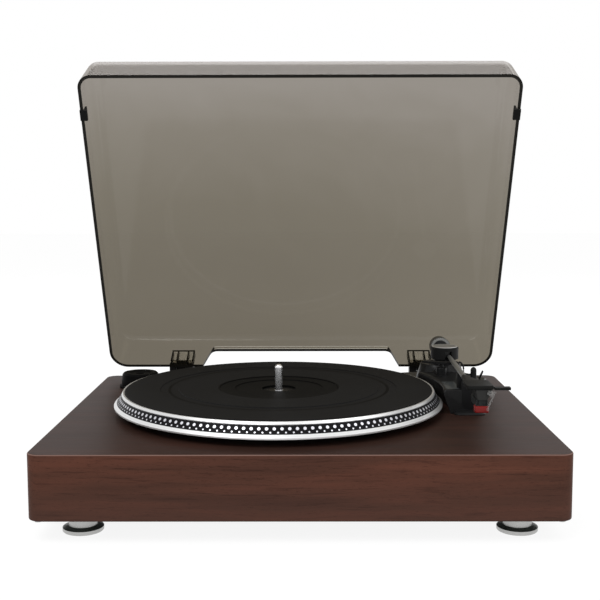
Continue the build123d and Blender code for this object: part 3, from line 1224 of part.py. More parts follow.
with BuildPart() as force_dial:
    with BuildSketch(Plane.XZ.offset(-WEIGHT_Y + 0.3)):
        with Locations((PIVOT_X, STUB_Z)):
            Circle(DIAL_R)
            Circle(DIAL_HUB_R + SLIDE_CLEARANCE, mode=Mode.SUBTRACT)
    extrude(amount=DIAL_T)
    chamfer(force_dial.edges().group_by(Axis.Y)[0].sort_by(SortBy.RADIUS)[-1], 0.5)
force_dial.part.label = "force_dial"
export_step(force_dial.part, "parts/force_dial.step")


# Cueing lift: a curved bar on a post, raised by the lever at the right
LIFT_TOP_Z = ARM_Z - TUBE_REAR_R - 0.3 - LIFT_GAP
LIFT_START = 284.0
with BuildPart() as lift_platform:
    with BuildSketch(Plane.XY.offset(LIFT_TOP_Z - LIFT_BAR_T)):
        with BuildLine() as lift_line:
            CenterArc((PIVOT_X, PIVOT_Y), LIFT_R, LIFT_START, -LIFT_SWEEP)
        trace(lift_line.line, line_width=LIFT_BAR_W)
    extrude(amount=LIFT_BAR_T)
    with Locations((LIFT_POST_X, LIFT_POST_Y, LIFT_TOP_Z - LIFT_BAR_T)):
        Cylinder(LIFT_POST_R, LIFT_TOP_Z - LIFT_BAR_T - TOP_Z - 1, align=(Align.CENTER, Align.CENTER, Align.MAX))
lift_platform.part.label = "lift_platform"
export_step(lift_platform.part, "parts/lift_platform.step")

LEVER_TIP_Y = LEVER_PIN_Y - LEVER_L * math.cos(math.radians(LEVER_ANGLE))
LEVER_TIP_Z = LEVER_PIN_Z + LEVER_L * math.sin(math.radians(LEVER_ANGLE))
with BuildPart() as cue_lever:
    with BuildSketch(Plane.YZ.offset(LEVER_X)):
        with BuildLine() as lever_line:
            Line((LEVER_PIN_Y, LEVER_PIN_Z), (LEVER_TIP_Y, LEVER_TIP_Z))
        trace(lever_line.line, line_width=4)
        with Locations((LEVER_PIN_Y, LEVER_PIN_Z)):
            Circle(3.4)
            Circle(LEVER_PIN_R + BEARING_CLEARANCE, mode=Mode.SUBTRACT)
    extrude(amount=LEVER_T / 2, both=True)
cue_lever.part.label = "cue_lever"
export_step(cue_lever.part, "parts/cue_lever.step")

with BuildPart() as lever_pin:
    with BuildSketch(Plane.YZ.offset(LEVER_X)):
        with Locations((LEVER_PIN_Y, LEVER_PIN_Z)):
            Circle(LEVER_PIN_R)
    extrude(amount=5, both=True)
lever_pin.part.label = "lever_pin"
export_step(lever_pin.part, "parts/lever_pin.step")


# Arm rest: a column with a shelf and a stop, and a clip that turns over the tube
REST_TUBE_X = HEAD_X + TUBE_SIDE * (ARM_BASE_FRONT + REST_L / 2 - TUBE_END_Y) / (TUBE_REAR_Y - TUBE_END_Y)
REST_SHELF_Z = ARM_Z - TUBE_FRONT_R - LIFT_GAP
REST_STOP_X = REST_TUBE_X + TUBE_FRONT_R + LIFT_GAP
CLIP_BORE_R = CLIP_R - 0.9
with BuildPart() as arm_rest:
    with BuildSketch(Plane.XZ.offset(-ARM_BASE_FRONT - REST_L)):
        with BuildLine():
            Polyline(
                (REST_X0, BASE_TOP_Z),
                (REST_X1, BASE_TOP_Z),
                (REST_X1, REST_SHELF_Z - 2.5),
                (REST_STOP_X + 2, REST_SHELF_Z - 2.5),
                (REST_STOP_X + 2, ARM_Z),
                (REST_STOP_X, ARM_Z + 1),
                (REST_STOP_X, REST_SHELF_Z),
                (REST_X0, REST_SHELF_Z),
                close=True,
            )
        make_face()
    extrude(amount=REST_L)
    fillet(arm_rest.edges().filter_by(Axis.Z).group_by(Axis.X)[0], 1.5)
    with Locations((CLIP_X, ARM_BASE_FRONT + REST_L / 2, REST_SHELF_Z - 2.5)):
        Cylinder(CLIP_BORE_R, 6, align=(Align.CENTER, Align.CENTER, Align.MIN))
arm_rest.part.label = "arm_rest"
export_step(arm_rest.part, "parts/arm_rest.step")

CLIP_FOOT_Z = REST_SHELF_Z - 2.5 + CLIP_GAP
CLIP_FINGER_Z = ARM_Z + TUBE_FRONT_R + CLIP_GAP
CLIP_Y = ARM_BASE_FRONT + REST_L / 2
with BuildPart() as arm_clip:
    with BuildSketch(Plane.XY.offset(CLIP_FOOT_Z)):
        with Locations((CLIP_X, CLIP_Y)):
            Circle(CLIP_R)
    extrude(amount=CLIP_FINGER_Z - CLIP_FOOT_Z)
    with BuildSketch(Plane.XY.offset(CLIP_FINGER_Z)):
        with Locations((CLIP_X, CLIP_Y)):
            Circle(CLIP_R)
            Rectangle(2 * CLIP_R - 1, CLIP_FINGER_L, align=(Align.CENTER, Align.MAX))
    extrude(amount=CLIP_FINGER_T)
    with BuildSketch(Plane.XY.offset(CLIP_FOOT_Z)):
        with Locations((CLIP_X, CLIP_Y)):
            Circle(CLIP_BORE_R + BEARING_CLEARANCE)
    extrude(amount=6.5, mode=Mode.SUBTRACT)
arm_clip.part.label = "arm_clip"
export_step(arm_clip.part, "parts/arm_clip.step")


# Rear panel with two phono sockets, a power socket and a power switch
PHONO_X = [SOCKET_PANEL_X - 40 + PHONO_PITCH * index for index in range(2)]
GROUND_X = PHONO_X[-1] + PHONO_PITCH
POWER_X = SOCKET_PANEL_X + 18
SWITCH_X = SOCKET_PANEL_X + 40
SWITCH_W = 12.0
SWITCH_H = 18.0
SWITCH_PIVOT_Y = REAR_Y - 3.4
SWITCH_PIN_R = 1.0
POWER_R = 4.5
with BuildPart() as socket_panel:
    with BuildSketch(Plane.XZ.offset(-REAR_Y)):
        with Locations((SOCKET_PANEL_X, SOCKET_PANEL_Z)):
            Rectangle(SOCKET_PANEL_W, SOCKET_PANEL_H)
            with GridLocations(SOCKET_WINDOW_W + 5, 1, 2, 1):
                Circle(SCREW_R + SCREW_GRIP, mode=Mode.SUBTRACT)
        with Locations(*[(x, SOCKET_PANEL_Z) for x in PHONO_X], (GROUND_X, SOCKET_PANEL_Z)):
            Circle(PHONO_R - 1 + SCREW_GRIP, mode=Mode.SUBTRACT)
        with Locations((POWER_X, SOCKET_PANEL_Z)):
            Circle(POWER_R, mode=Mode.SUBTRACT)
        with Locations((SWITCH_X, SOCKET_PANEL_Z)):
            Rectangle(SWITCH_W, SWITCH_H, mode=Mode.SUBTRACT)
    extrude(amount=SOCKET_PANEL_T)
socket_panel.part.label = "socket_panel"
export_step(socket_panel.part, "parts/socket_panel.step")

with BuildPart() as phono_sockets:
    with BuildSketch(Plane.XZ.offset(-REAR_Y)):
        with Locations(*[(x, SOCKET_PANEL_Z) for x in PHONO_X]):
            Circle(PHONO_R)
    extrude(amount=-PHONO_L)
    with BuildSketch(Plane.XZ.offset(-REAR_Y)):
        with Locations(*[(x, SOCKET_PANEL_Z) for x in PHONO_X]):
            Circle(PHONO_R + 1.4)
    extrude(amount=-1.5)
    with BuildSketch(Plane.XZ.offset(-REAR_Y)):
        with Locations(*[(x, SOCKET_PANEL_Z) for x in PHONO_X]):
            Circle(PHONO_R - 1)
    extrude(amount=8)
    with BuildSketch(Plane.XZ.offset(-REAR_Y - PHONO_L)):
        with Locations(*[(x, SOCKET_PANEL_Z) for x in PHONO_X]):
            Circle(1.6)
    extrude(amount=PHONO_L, mode=Mode.SUBTRACT)
phono_sockets.part.label = "phono_sockets"
export_step(phono_sockets.part, "parts/phono_sockets.step")

with BuildPart() as ground_post:
    with BuildSketch(Plane.XZ.offset(-REAR_Y)):
        with Locations((GROUND_X, SOCKET_PANEL_Z)):
            Circle(PHONO_R - 1)
    extrude(amount=6)
    with BuildSketch(Plane.XZ.offset(-REAR_Y)):
        with Locations((GROUND_X, SOCKET_PANEL_Z)):
            RegularPolygon(5, 12)
    extrude(amount=-6)
ground_post.part.label = "ground_post"
export_step(ground_post.part, "parts/ground_post.step")

with BuildPart() as power_socket:
    with BuildSketch(Plane.XZ.offset(-REAR_Y)):
        with Locations((POWER_X, SOCKET_PANEL_Z)):
            Circle(POWER_R)
            Circle(2.8, mode=Mode.SUBTRACT)
    extrude(amount=11)
    with BuildSketch(Plane.XZ.offset(-REAR_Y + 11)):
        with Locations((POWER_X, SOCKET_PANEL_Z)):
            Circle(POWER_R)
    extrude(amount=1)
    with BuildSketch(Plane.XZ.offset(-REAR_Y + 11)):
        with Locations((POWER_X, SOCKET_PANEL_Z)):
            Circle(1)
    extrude(amount=-9)
power_socket.part.label = "power_socket"
export_step(power_socket.part, "parts/power_socket.step")

with BuildPart() as power_switch:
    with BuildSketch(Plane.YZ.offset(SWITCH_X)):
        with BuildLine():
            Polyline(
                (SWITCH_PIVOT_Y - 2, SOCKET_PANEL_Z - 5),
                (SWITCH_PIVOT_Y + 4.5, SOCKET_PANEL_Z - 7.6),
                (SWITCH_PIVOT_Y + 3.2, SOCKET_PANEL_Z),
                (SWITCH_PIVOT_Y + 2.9, SOCKET_PANEL_Z + 7.6),
                (SWITCH_PIVOT_Y - 2, SOCKET_PANEL_Z + 5),
                close=True,
            )
        make_face()
        with Locations((SWITCH_PIVOT_Y, SOCKET_PANEL_Z)):
            Circle(SWITCH_PIN_R + BEARING_CLEARANCE, mode=Mode.SUBTRACT)
    extrude(amount=SWITCH_W / 2 - 0.4, both=True)
power_switch.part.label = "power_switch"
export_step(power_switch.part, "parts/power_switch.step")

# Frame behind the panel that carries the rocker on an axle
SWITCH_WALL = 1.5
SWITCH_DEPTH = 9.0
SWITCH_FACE_Y = REAR_Y - SOCKET_PANEL_T
with BuildPart() as switch_frame:
    with BuildSketch(Plane.XZ.offset(-SWITCH_FACE_Y)):
        with Locations((SWITCH_X, SOCKET_PANEL_Z)):
            Rectangle(SWITCH_W + 2 * SWITCH_WALL, SWITCH_H + 1.4)
    extrude(amount=SWITCH_DEPTH)
    with BuildSketch(Plane.XZ.offset(-SWITCH_FACE_Y)):
        with Locations((SWITCH_X, SOCKET_PANEL_Z)):
            Rectangle(SWITCH_W, SWITCH_H)
    extrude(amount=SWITCH_DEPTH - SWITCH_WALL, mode=Mode.SUBTRACT)
    with BuildSketch(Plane.YZ.offset(SWITCH_X)):
        with Locations((SWITCH_PIVOT_Y, SOCKET_PANEL_Z)):
            Circle(SWITCH_PIN_R)
    extrude(amount=SWITCH_W / 2, both=True)
switch_frame.part.label = "switch_frame"
export_step(switch_frame.part, "parts/switch_frame.step")

# Circuit board on the bottom panel, with its larger components
BOARD_Z = PANEL_TOP_Z + BOARD_RISE
BOARD_X = SOCKET_PANEL_X
BOARD_Y = REAR_Y - SIDE_WALL - BOARD_D / 2 - 12
BOARD_HOLES_X = BOARD_W - 2 * BOARD_HOLE_INSET
BOARD_HOLES_Y = BOARD_D - 2 * BOARD_HOLE_INSET
CAN_R = 4.0
CAN_H = 11.0
CAN_PITCH = 11.0
with BuildPart() as circuit_board:
    with BuildSketch(Plane.XY.offset(BOARD_Z)):
        with Locations((BOARD_X, BOARD_Y)):
            Rectangle(BOARD_W, BOARD_D)
            with GridLocations(BOARD_HOLES_X, BOARD_HOLES_Y, 2, 2):
                Circle(SCREW_R, mode=Mode.SUBTRACT)
    extrude(amount=BOARD_T)
    with BuildSketch(Plane.XY.offset(BOARD_Z + BOARD_T)):
        with Locations((BOARD_X - BOARD_W / 4, BOARD_Y + 6)):
            Rectangle(14, 8)
        with Locations((BOARD_X + 24, BOARD_Y - 6)):
            Rectangle(10, 16)
    extrude(amount=3)
    with Locations((BOARD_X, BOARD_Y, BOARD_Z + BOARD_T)):
        with GridLocations(CAN_PITCH, 1, 3, 1):
            Cylinder(CAN_R, CAN_H, align=(Align.CENTER, Align.CENTER, Align.MIN))
circuit_board.part.label = "circuit_board"
export_step(circuit_board.part, "parts/circuit_board.step")

with BuildPart() as board_posts:
    with Locations((BOARD_X, BOARD_Y, PANEL_TOP_Z)):
        with GridLocations(BOARD_HOLES_X, BOARD_HOLES_Y, 2, 2):
            Cylinder(BOARD_POST_R, BOARD_Z - PANEL_TOP_Z, align=(Align.CENTER, Align.CENTER, Align.MIN))
            Cylinder(SCREW_R, BOARD_Z - PANEL_TOP_Z + BOARD_T, align=(Align.CENTER, Align.CENTER, Align.MIN))
board_posts.part.label = "board_posts"
export_step(board_posts.part, "parts/board_posts.step")
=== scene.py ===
"""Looks, light and camera for a belt driven turntable with an open smoked cover."""

import functools
import logging
import math
from dataclasses import dataclass
from enum import Enum
from typing import Union

import bmesh
import bpy
import numpy as np
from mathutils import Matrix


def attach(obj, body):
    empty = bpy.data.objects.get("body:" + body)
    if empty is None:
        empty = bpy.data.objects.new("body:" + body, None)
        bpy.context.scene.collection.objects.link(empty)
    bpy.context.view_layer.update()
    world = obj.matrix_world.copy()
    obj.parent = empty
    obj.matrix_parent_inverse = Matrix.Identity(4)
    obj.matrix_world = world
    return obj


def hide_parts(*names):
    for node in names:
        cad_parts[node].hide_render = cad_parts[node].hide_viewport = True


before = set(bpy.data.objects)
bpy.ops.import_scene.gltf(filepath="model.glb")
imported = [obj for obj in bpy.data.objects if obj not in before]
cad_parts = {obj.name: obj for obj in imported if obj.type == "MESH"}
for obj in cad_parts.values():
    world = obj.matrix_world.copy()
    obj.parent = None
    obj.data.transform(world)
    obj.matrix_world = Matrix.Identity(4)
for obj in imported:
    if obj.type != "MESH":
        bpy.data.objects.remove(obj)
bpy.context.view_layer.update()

log = logging.getLogger("turntable")

Material = bpy.types.Material
Socket = bpy.types.NodeSocket
Value = Union[Socket, float, tuple]

MM = 0.001
PER_METRE = 1000.0
FULL_TURN = 2.0 * math.pi
TOP_Z = -20.0
FLOOR_Z = -90.5
PIVOT = (164.2, 83.0)
PIVOT_Z = 19.0
LID_ANGLE = math.radians(64.8)
LID_ORIGIN = (20.0, 158.386, -8.795)
WHITE = (1.0, 1.0, 1.0)


class Axis(Enum):
    """The object axis that a brushed line follows."""

    X = 0
    Y = 1
    Z = 2


def grey(level: float) -> tuple:
    """Gives a linear grey."""
    return (level, level, level)


class Graph:
    """A small writer of shader nodes, for a material or for the world."""

    def __init__(self, tree: bpy.types.NodeTree) -> None:
        """Empties a node tree to write in it.

        Args:
            tree: the node tree.
        """
        self.nodes = tree.nodes
        self.links = tree.links
        self.nodes.clear()

    def put(self, socket: Socket, value: Value) -> None:
        """Sets a socket to a value, or links it to another socket.

        Args:
            socket: the input to fill.
            value: a number, a linear colour, a vector or an output socket.
        """
        if isinstance(value, Socket):
            self.links.new(value, socket)
        elif socket.type == "RGBA":
            socket.default_value = (*value, 1.0)
        else:
            socket.default_value = value

    def shader(self, kind: str, **values: Value) -> Socket:
        """Adds a shader node.

        Args:
            kind: the node's type.
            values: its inputs by name, with spaces as underscores.

        Returns:
            The shader output.
        """
        node = self.nodes.new(kind)
        for key, value in values.items():
            self.put(node.inputs[key.replace("_", " ")], value)
        return node.outputs[0]

    def blend(self, factor: Value, first: Socket, second: Socket) -> Socket:
        """Mixes two shaders.

        Args:
            factor: share of the second.
            first: first shader.
            second: second shader.

        Returns:
            The shader output.
        """
        node = self.nodes.new("ShaderNodeMixShader")
        for socket, value in zip(node.inputs, (factor, first, second)):
            self.put(socket, value)
        return node.outputs[0]

    def math(self, operation: str, *values: Value, clamp: bool = False) -> Socket:
        """Adds a math node.

        Args:
            operation: name of the operation.
            values: the inputs, numbers or sockets.
            clamp: keeps the result between 0 and 1.

        Returns:
            The output socket.
        """
        node = self.nodes.new("ShaderNodeMath")
        node.operation = operation
        node.use_clamp = clamp
        for socket, value in zip(node.inputs, values):
            self.put(socket, value)
        return node.outputs[0]

    def in_view(self) -> Socket:
        """Tells the rays that show a background from those that light the object.

        Returns:
            A socket that is 1 for camera, glossy and transmission rays.
        """
        paths = self.nodes.new("ShaderNodeLightPath")
        total = paths.outputs["Is Camera Ray"]
        for name in ("Is Glossy Ray", "Is Transmission Ray"):
            total = self.math("MAXIMUM", total, paths.outputs[name])
        return total


class Tree(Graph):
    """A writer of the shader nodes of one material."""

    def __init__(self, name: str) -> None:
        """Starts an empty material.

        Args:
            name: name of the material.
        """
        self.material = bpy.data.materials.new(name)
        self.material.use_nodes = True
        super().__init__(self.material.node_tree)
        self.output = self.nodes.new("ShaderNodeOutputMaterial")
        coordinates = self.nodes.new("ShaderNodeTexCoord")
        self.position = coordinates.outputs["Object"]
        self.normal = coordinates.outputs["Normal"]

    def plus(self, first: Value, second: Value) -> Socket:
        """Adds two values."""
        return self.math("ADD", first, second)

    def minus(self, first: Value, second: Value) -> Socket:
        """Takes the second value from the first."""
        return self.math("SUBTRACT", first, second)

    def times(self, first: Value, second: Value) -> Socket:
        """Multiplies two values."""
        return self.math("MULTIPLY", first, second)

    def larger(self, first: Value, second: Value) -> Socket:
        """Gives the larger of two values."""
        return self.math("MAXIMUM", first, second)

    def above(self, value: Value, limit: float) -> Socket:
        """Makes a mask that is 1 where a value is over a limit."""
        return self.math("GREATER_THAN", value, limit)

    def below(self, value: Value, limit: float) -> Socket:
        """Makes a mask that is 1 where a value is under a limit."""
        return self.math("LESS_THAN", value, limit)

    def apart(self, vector: Socket) -> tuple:
        """Splits a vector into its three parts.

        Args:
            vector: the vector.

        Returns:
            Three output sockets.
        """
        node = self.nodes.new("ShaderNodeSeparateXYZ")
        self.put(node.inputs[0], vector)
        return tuple(node.outputs)

    def millimetres(self) -> tuple:
        """Gives the object position in millimetres, as three sockets."""
        return tuple(self.times(part, PER_METRE) for part in self.apart(self.position))

    def join(self, *parts: Value) -> Socket:
        """Joins three values into a vector.

        Args:
            parts: the three values.

        Returns:
            The output socket.
        """
        node = self.nodes.new("ShaderNodeCombineXYZ")
        for socket, value in zip(node.inputs, parts):
            self.put(socket, value)
        return node.outputs[0]

    def scaled(self, scale: tuple) -> Socket:
        """Scales the object position.

        Args:
            scale: factor along each axis, per metre.

        Returns:
            The output socket.
        """
        node = self.nodes.new("ShaderNodeMapping")
        self.put(node.inputs["Vector"], self.position)
        self.put(node.inputs["Scale"], scale)
        return node.outputs[0]

    def noise(self, place: Value, detail: float = 3.0, rough: float = 0.55, twist: float = 0.0) -> Socket:
        """Adds a noise texture.

        Args:
            place: the vector it is read at, or its cells per metre in the object position.
            detail: number of octaves.
            rough: strength of the finer octaves.
            twist: distortion.

        Returns:
            The factor output.
        """
        node = self.nodes.new("ShaderNodeTexNoise")
        vector = place if isinstance(place, Socket) else self.scaled((place, place, place))
        self.put(node.inputs["Vector"], vector)
        self.put(node.inputs["Scale"], 1.0)
        self.put(node.inputs["Detail"], detail)
        self.put(node.inputs["Roughness"], rough)
        self.put(node.inputs["Distortion"], twist)
        return node.outputs["Fac"]

    def varied(self, least: float, spread: float, mask: Socket) -> Socket:
        """Lets a value vary with a mask or a noise, from its least by its spread."""
        return self.plus(least, self.times(mask, spread))

    def turned(self, radius: Socket, height: Socket) -> Socket:
        """Adds the fine rings that a lathe leaves, a noise of radius and height alone.

        Args:
            radius: distance from the axis in millimetres.
            height: height in millimetres.

        Returns:
            The factor output.
        """
        rings_per_mm = 4.0
        return self.noise(self.join(self.times(radius, rings_per_mm), self.times(height, rings_per_mm), 0.0))

    def ramp(self, factor: Socket, stops: tuple) -> Socket:
        """Adds a colour ramp.

        Args:
            factor: the input value.
            stops: pairs of place and linear colour.

        Returns:
            The colour output.
        """
        node = self.nodes.new("ShaderNodeValToRGB")
        self.put(node.inputs[0], factor)
        elements = node.color_ramp.elements
        while len(elements) < len(stops):
            elements.new(0.5)
        for element, (place, color) in zip(elements, stops):
            element.position = place
            element.color = (*color, 1.0)
        return node.outputs["Color"]

    def mix(self, factor: Value, first: Value, second: Value) -> Socket:
        """Mixes two colours.

        Args:
            factor: share of the second.
            first: first colour or socket.
            second: second colour or socket.

        Returns:
            The colour output.
        """
        node = self.nodes.new("ShaderNodeMix")
        node.data_type = "RGBA"
        self.put(node.inputs["Factor"], factor)
        colors = [socket for socket in node.inputs if socket.type == "RGBA"]
        for socket, value in zip(colors, (first, second)):
            self.put(socket, value)
        return [socket for socket in node.outputs if socket.type == "RGBA"][0]

    def between(self, value: Socket, low: float, high: float, soft: float) -> Socket:
        """Makes a mask that is 1 where a value lies inside a range.

        Args:
            value: the socket tested.
            low: lower end.
            high: upper end.
            soft: width of each soft edge.

        Returns:
            The mask output.
        """
        rise = self.math("DIVIDE", self.minus(value, low), soft, clamp=True)
        fall = self.math("DIVIDE", self.minus(high, value), soft, clamp=True)
        return self.times(rise, fall)

    def polar(self, first: Socket, second: Socket, centre: tuple = (0.0, 0.0)) -> tuple:
        """Gives the distance and the angle of a point from a centre.

        Args:
            first: first coordinate in millimetres.
            second: second coordinate in millimetres.
            centre: the centre's two coordinates in millimetres.

        Returns:
            The distance in millimetres and the angle in radians, as sockets.
        """
        across = self.minus(first, centre[0])
        up = self.minus(second, centre[1])
        square = self.plus(self.times(across, across), self.times(up, up))
        return self.math("SQRT", square), self.math("ARCTAN2", up, across)

    def bump(self, height: Socket, distance_mm: float) -> Socket:
        """Adds a bump.

        Args:
            height: the height socket, 0 to 1.
            distance_mm: full height in millimetres.

        Returns:
            The normal output.
        """
        node = self.nodes.new("ShaderNodeBump")
        self.put(node.inputs["Strength"], 1.0)
        self.put(node.inputs["Distance"], distance_mm * MM)
        self.put(node.inputs["Height"], height)
        return node.outputs["Normal"]

    def close(self, shader: Socket) -> Material:
        """Links a shader to the output.

        Args:
            shader: the shader output.

        Returns:
            The finished material.
        """
        self.links.new(shader, self.output.inputs["Surface"])
        return self.material

    def surface(self, color: Value, roughness: Value, metallic: Value = 0.0, **extra: Value) -> Material:
        """Adds the main shader and links it to the output.

        Args:
            color: base colour or socket.
            roughness: roughness or socket.
            metallic: metal share or socket.
            extra: further inputs by name, with spaces as underscores.

        Returns:
            The finished material.
        """
        values = {"Base_Color": color, "Roughness": roughness, "Metallic": metallic, "Coat_Roughness": 0.12}
        return self.close(self.shader("ShaderNodeBsdfPrincipled", **values, **extra))


@dataclass(frozen=True)
class Plain:
    """A surface with a fine texture and a drifting colour.

    Args:
        color: linear red, green and blue.
        roughness: mean roughness.
        metallic: 1 for bare metal, 0 for anything else.
        bump: height of the fine texture in millimetres.
        grain: size of the fine texture in millimetres.
        spread: how far the colour drifts over the surface, 0 to 1.
        specular: level of the plain reflection, 0.5 for most plastics.
        drift: cells of the colour's drift per metre.
        vary: how far the roughness varies.
    """

    color: tuple
    roughness: float
    metallic: float = 0.0
    bump: float = 0.02
    grain: float = 0.6
    spread: float = 0.12
    specular: float = 0.5
    drift: float = 35.0
    vary: float = 0.1

    def shades(self) -> tuple:
        """Gives the darkest and the lightest shade of the colour.

        Returns:
            Two colours.
        """
        dark = tuple(part * (1.0 - self.spread) for part in self.color)
        light = tuple(min(part * (1.0 + self.spread), 1.0) for part in self.color)
        return dark, light

    def build(self, name: str) -> Material:
        """Makes the material.

        Args:
            name: name of the material.

        Returns:
            The material.
        """
        tree = Tree(name)
        fine = tree.noise(1.0 / (self.grain * MM), detail=2.0)
        broad = tree.noise(self.drift, detail=4.0)
        dark, light = self.shades()
        color = tree.ramp(broad, ((0.3, dark), (0.7, light)))
        rough = tree.varied(self.roughness - self.vary / 2, self.vary, broad)
        normal = tree.bump(fine, self.bump)
        return tree.surface(color, rough, self.metallic, Normal=normal, Specular_IOR_Level=self.specular)


@dataclass(frozen=True)
class Brushed(Plain):
    """A metal with fine lines along one axis.

    Args:
        axis: the way the lines run.
        across: lines per metre.
        along: cells per metre along a line.
        vary: how far the roughness varies.
    """

    axis: Axis = Axis.Y
    across: float = 3500.0
    along: float = 60.0
    vary: float = 0.16

    def build(self, name: str) -> Material:
        """Makes the material.

        Args:
            name: name of the material.

        Returns:
            The material.
        """
        tree = Tree(name)
        scale = tuple(self.along if axis is self.axis else self.across for axis in Axis)
        lines = tree.noise(tree.scaled(scale))
        dark, _ = self.shades()
        color = tree.ramp(lines, ((0.3, dark), (0.75, self.color)))
        rough = tree.varied(self.roughness - self.vary / 2, self.vary, lines)
        return tree.surface(color, rough, self.metallic, Normal=tree.bump(lines, self.bump))


@dataclass(frozen=True)
class WoodVeneer:
    """The dark red-brown veneer, with its grain along each face.

    Args:
        figure: cells per metre along, across and up, octaves, strength of the finer ones and twist of
            the broad figure.
        streaks: the same of the streaks.
        pores: the same of the pores.
        body: stops of the wood's own colour.
        line: colour of the dark lines in the grain.
        pore: colour of the pores.
        floor_reflection: colour that the lower part drifts to, a painted reflection of the floor.
        edge_highlight: colour of the painted highlight on the upper edge.
        top: colour of the painted shade on the top face.
        top_shade: how far the top's painted shade covers the grain.
        reflection_fall: height in millimetres where the painted reflection starts, and the fall until it is
            full.
        level: upward part of the normal where the painted edge highlight starts and where the top starts.
        roughness: least roughness, and how far it varies.
        specular: level of the plain reflection.
        bump: height of the texture in millimetres.
    """

    figure: tuple = ((5.0, 42.0, 70.0), 4.0, 0.6, 0.3)
    streaks: tuple = ((22.0, 420.0, 520.0), 4.0, 0.65, 0.0)
    pores: tuple = ((160.0, 2100.0, 2100.0), 2.0, 0.55, 0.0)
    body: tuple = (
        (0.22, (0.056, 0.026, 0.019)),
        (0.45, (0.082, 0.036, 0.025)),
        (0.62, (0.108, 0.043, 0.029)),
        (0.82, (0.140, 0.057, 0.037)),
    )
    line: tuple = (0.022, 0.010, 0.008)
    pore: tuple = (0.012, 0.006, 0.005)
    floor_reflection: tuple = (0.062, 0.038, 0.032)
    edge_highlight: tuple = (0.17, 0.105, 0.088)
    top: tuple = (0.010, 0.007, 0.006)
    top_shade: float = 0.75
    reflection_fall: tuple = (-36.0, 44.0)
    level: tuple = (0.3, 0.92)
    roughness: tuple = (0.34, 0.14)
    specular: float = 0.03
    bump: float = 0.05

    def grain(self, tree: Tree) -> tuple:
        """Draws three noises out along the grain, which follows x, or y on the two ends.

        Args:
            tree: writer of the material.

        Returns:
            The broad figure, the streaks and the pores, as sockets.
        """
        x, y, z = tree.apart(tree.position)
        normal_x, _, _ = tree.apart(tree.normal)
        side = tree.above(tree.math("ABSOLUTE", normal_x), 0.8)
        other = tree.minus(1.0, side)
        along = tree.plus(tree.times(x, other), tree.times(y, side))
        across = tree.plus(tree.times(y, other), tree.times(x, side))
        bend = tree.times(tree.noise(tree.join(tree.times(along, 5.0), across, z), detail=2.0), 0.012)
        place = (along, tree.plus(across, bend), tree.plus(z, bend))

        def drawn(cells: tuple, detail: float, rough: float, twist: float) -> Socket:
            """Adds one noise.

            Args:
                cells: cells per metre along, across and up.
                detail: number of octaves.
                rough: strength of the finer octaves.
                twist: distortion.

            Returns:
                The factor output.
            """
            parts = [tree.times(part, count) for part, count in zip(place, cells)]
            return tree.noise(tree.join(*parts), detail, rough, twist)

        return drawn(*self.figure), drawn(*self.streaks), drawn(*self.pores)

    def build(self, name: str) -> Material:
        """Makes the material.

        Args:
            name: name of the material.

        Returns:
            The material.
        """
        tree = Tree(name)
        figure, streak, pores = self.grain(tree)
        _, _, z = tree.millimetres()
        _, _, upward = tree.apart(tree.normal)
        lines = tree.times(tree.between(streak, 0.10, 0.44, 0.07), 0.34)
        color = tree.mix(lines, tree.ramp(figure, self.body), self.line)
        color = tree.mix(tree.times(tree.below(pores, 0.36), 0.35), color, self.pore)
        # Painted reflection: the lower part drifts to a greyer colour, standing in for the floor's
        # reflection.
        low = tree.math("DIVIDE", tree.minus(self.reflection_fall[0], z), self.reflection_fall[1], clamp=True)
        color = tree.mix(tree.times(low, 0.55), color, self.floor_reflection)
        # Painted highlight: faces between the front and the top, on the rounded upper edge, are lighter.
        color = tree.mix(tree.between(upward, *self.level, 0.05), color, self.edge_highlight)
        # Painted shade: the upward facing top is darkened toward a near black.
        color = tree.mix(tree.times(tree.above(upward, self.level[1]), self.top_shade), color, self.top)
        height = tree.plus(tree.times(streak, 0.6), tree.times(pores, 0.4))
        rough = tree.varied(*self.roughness, streak)
        normal = tree.bump(height, self.bump)
        return tree.surface(color, rough, Normal=normal, Specular_IOR_Level=self.specular)


@dataclass(frozen=True)
class PressedBoard:
    """The pressed board of the underside.

    Args:
        stops: stops of its colour.
        flakes: flakes per metre.
        roughness: its roughness.
        bump: height of the texture in millimetres.
    """

    stops: tuple = ((0.3, (0.018, 0.017, 0.016)), (0.7, (0.035, 0.032, 0.030)))
    flakes: float = 600.0
    roughness: float = 0.6
    bump: float = 0.06

    def build(self, name: str) -> Material:
        """Makes the material.

        Args:
            name: name of the material.

        Returns:
            The material.
        """
        tree = Tree(name)
        cells = tree.nodes.new("ShaderNodeTexVoronoi")
        tree.put(cells.inputs["Vector"], tree.scaled(grey(self.flakes)))
        color = tree.ramp(tree.noise(18.0), self.stops)
        return tree.surface(color, self.roughness, Normal=tree.bump(cells.outputs["Distance"], self.bump))


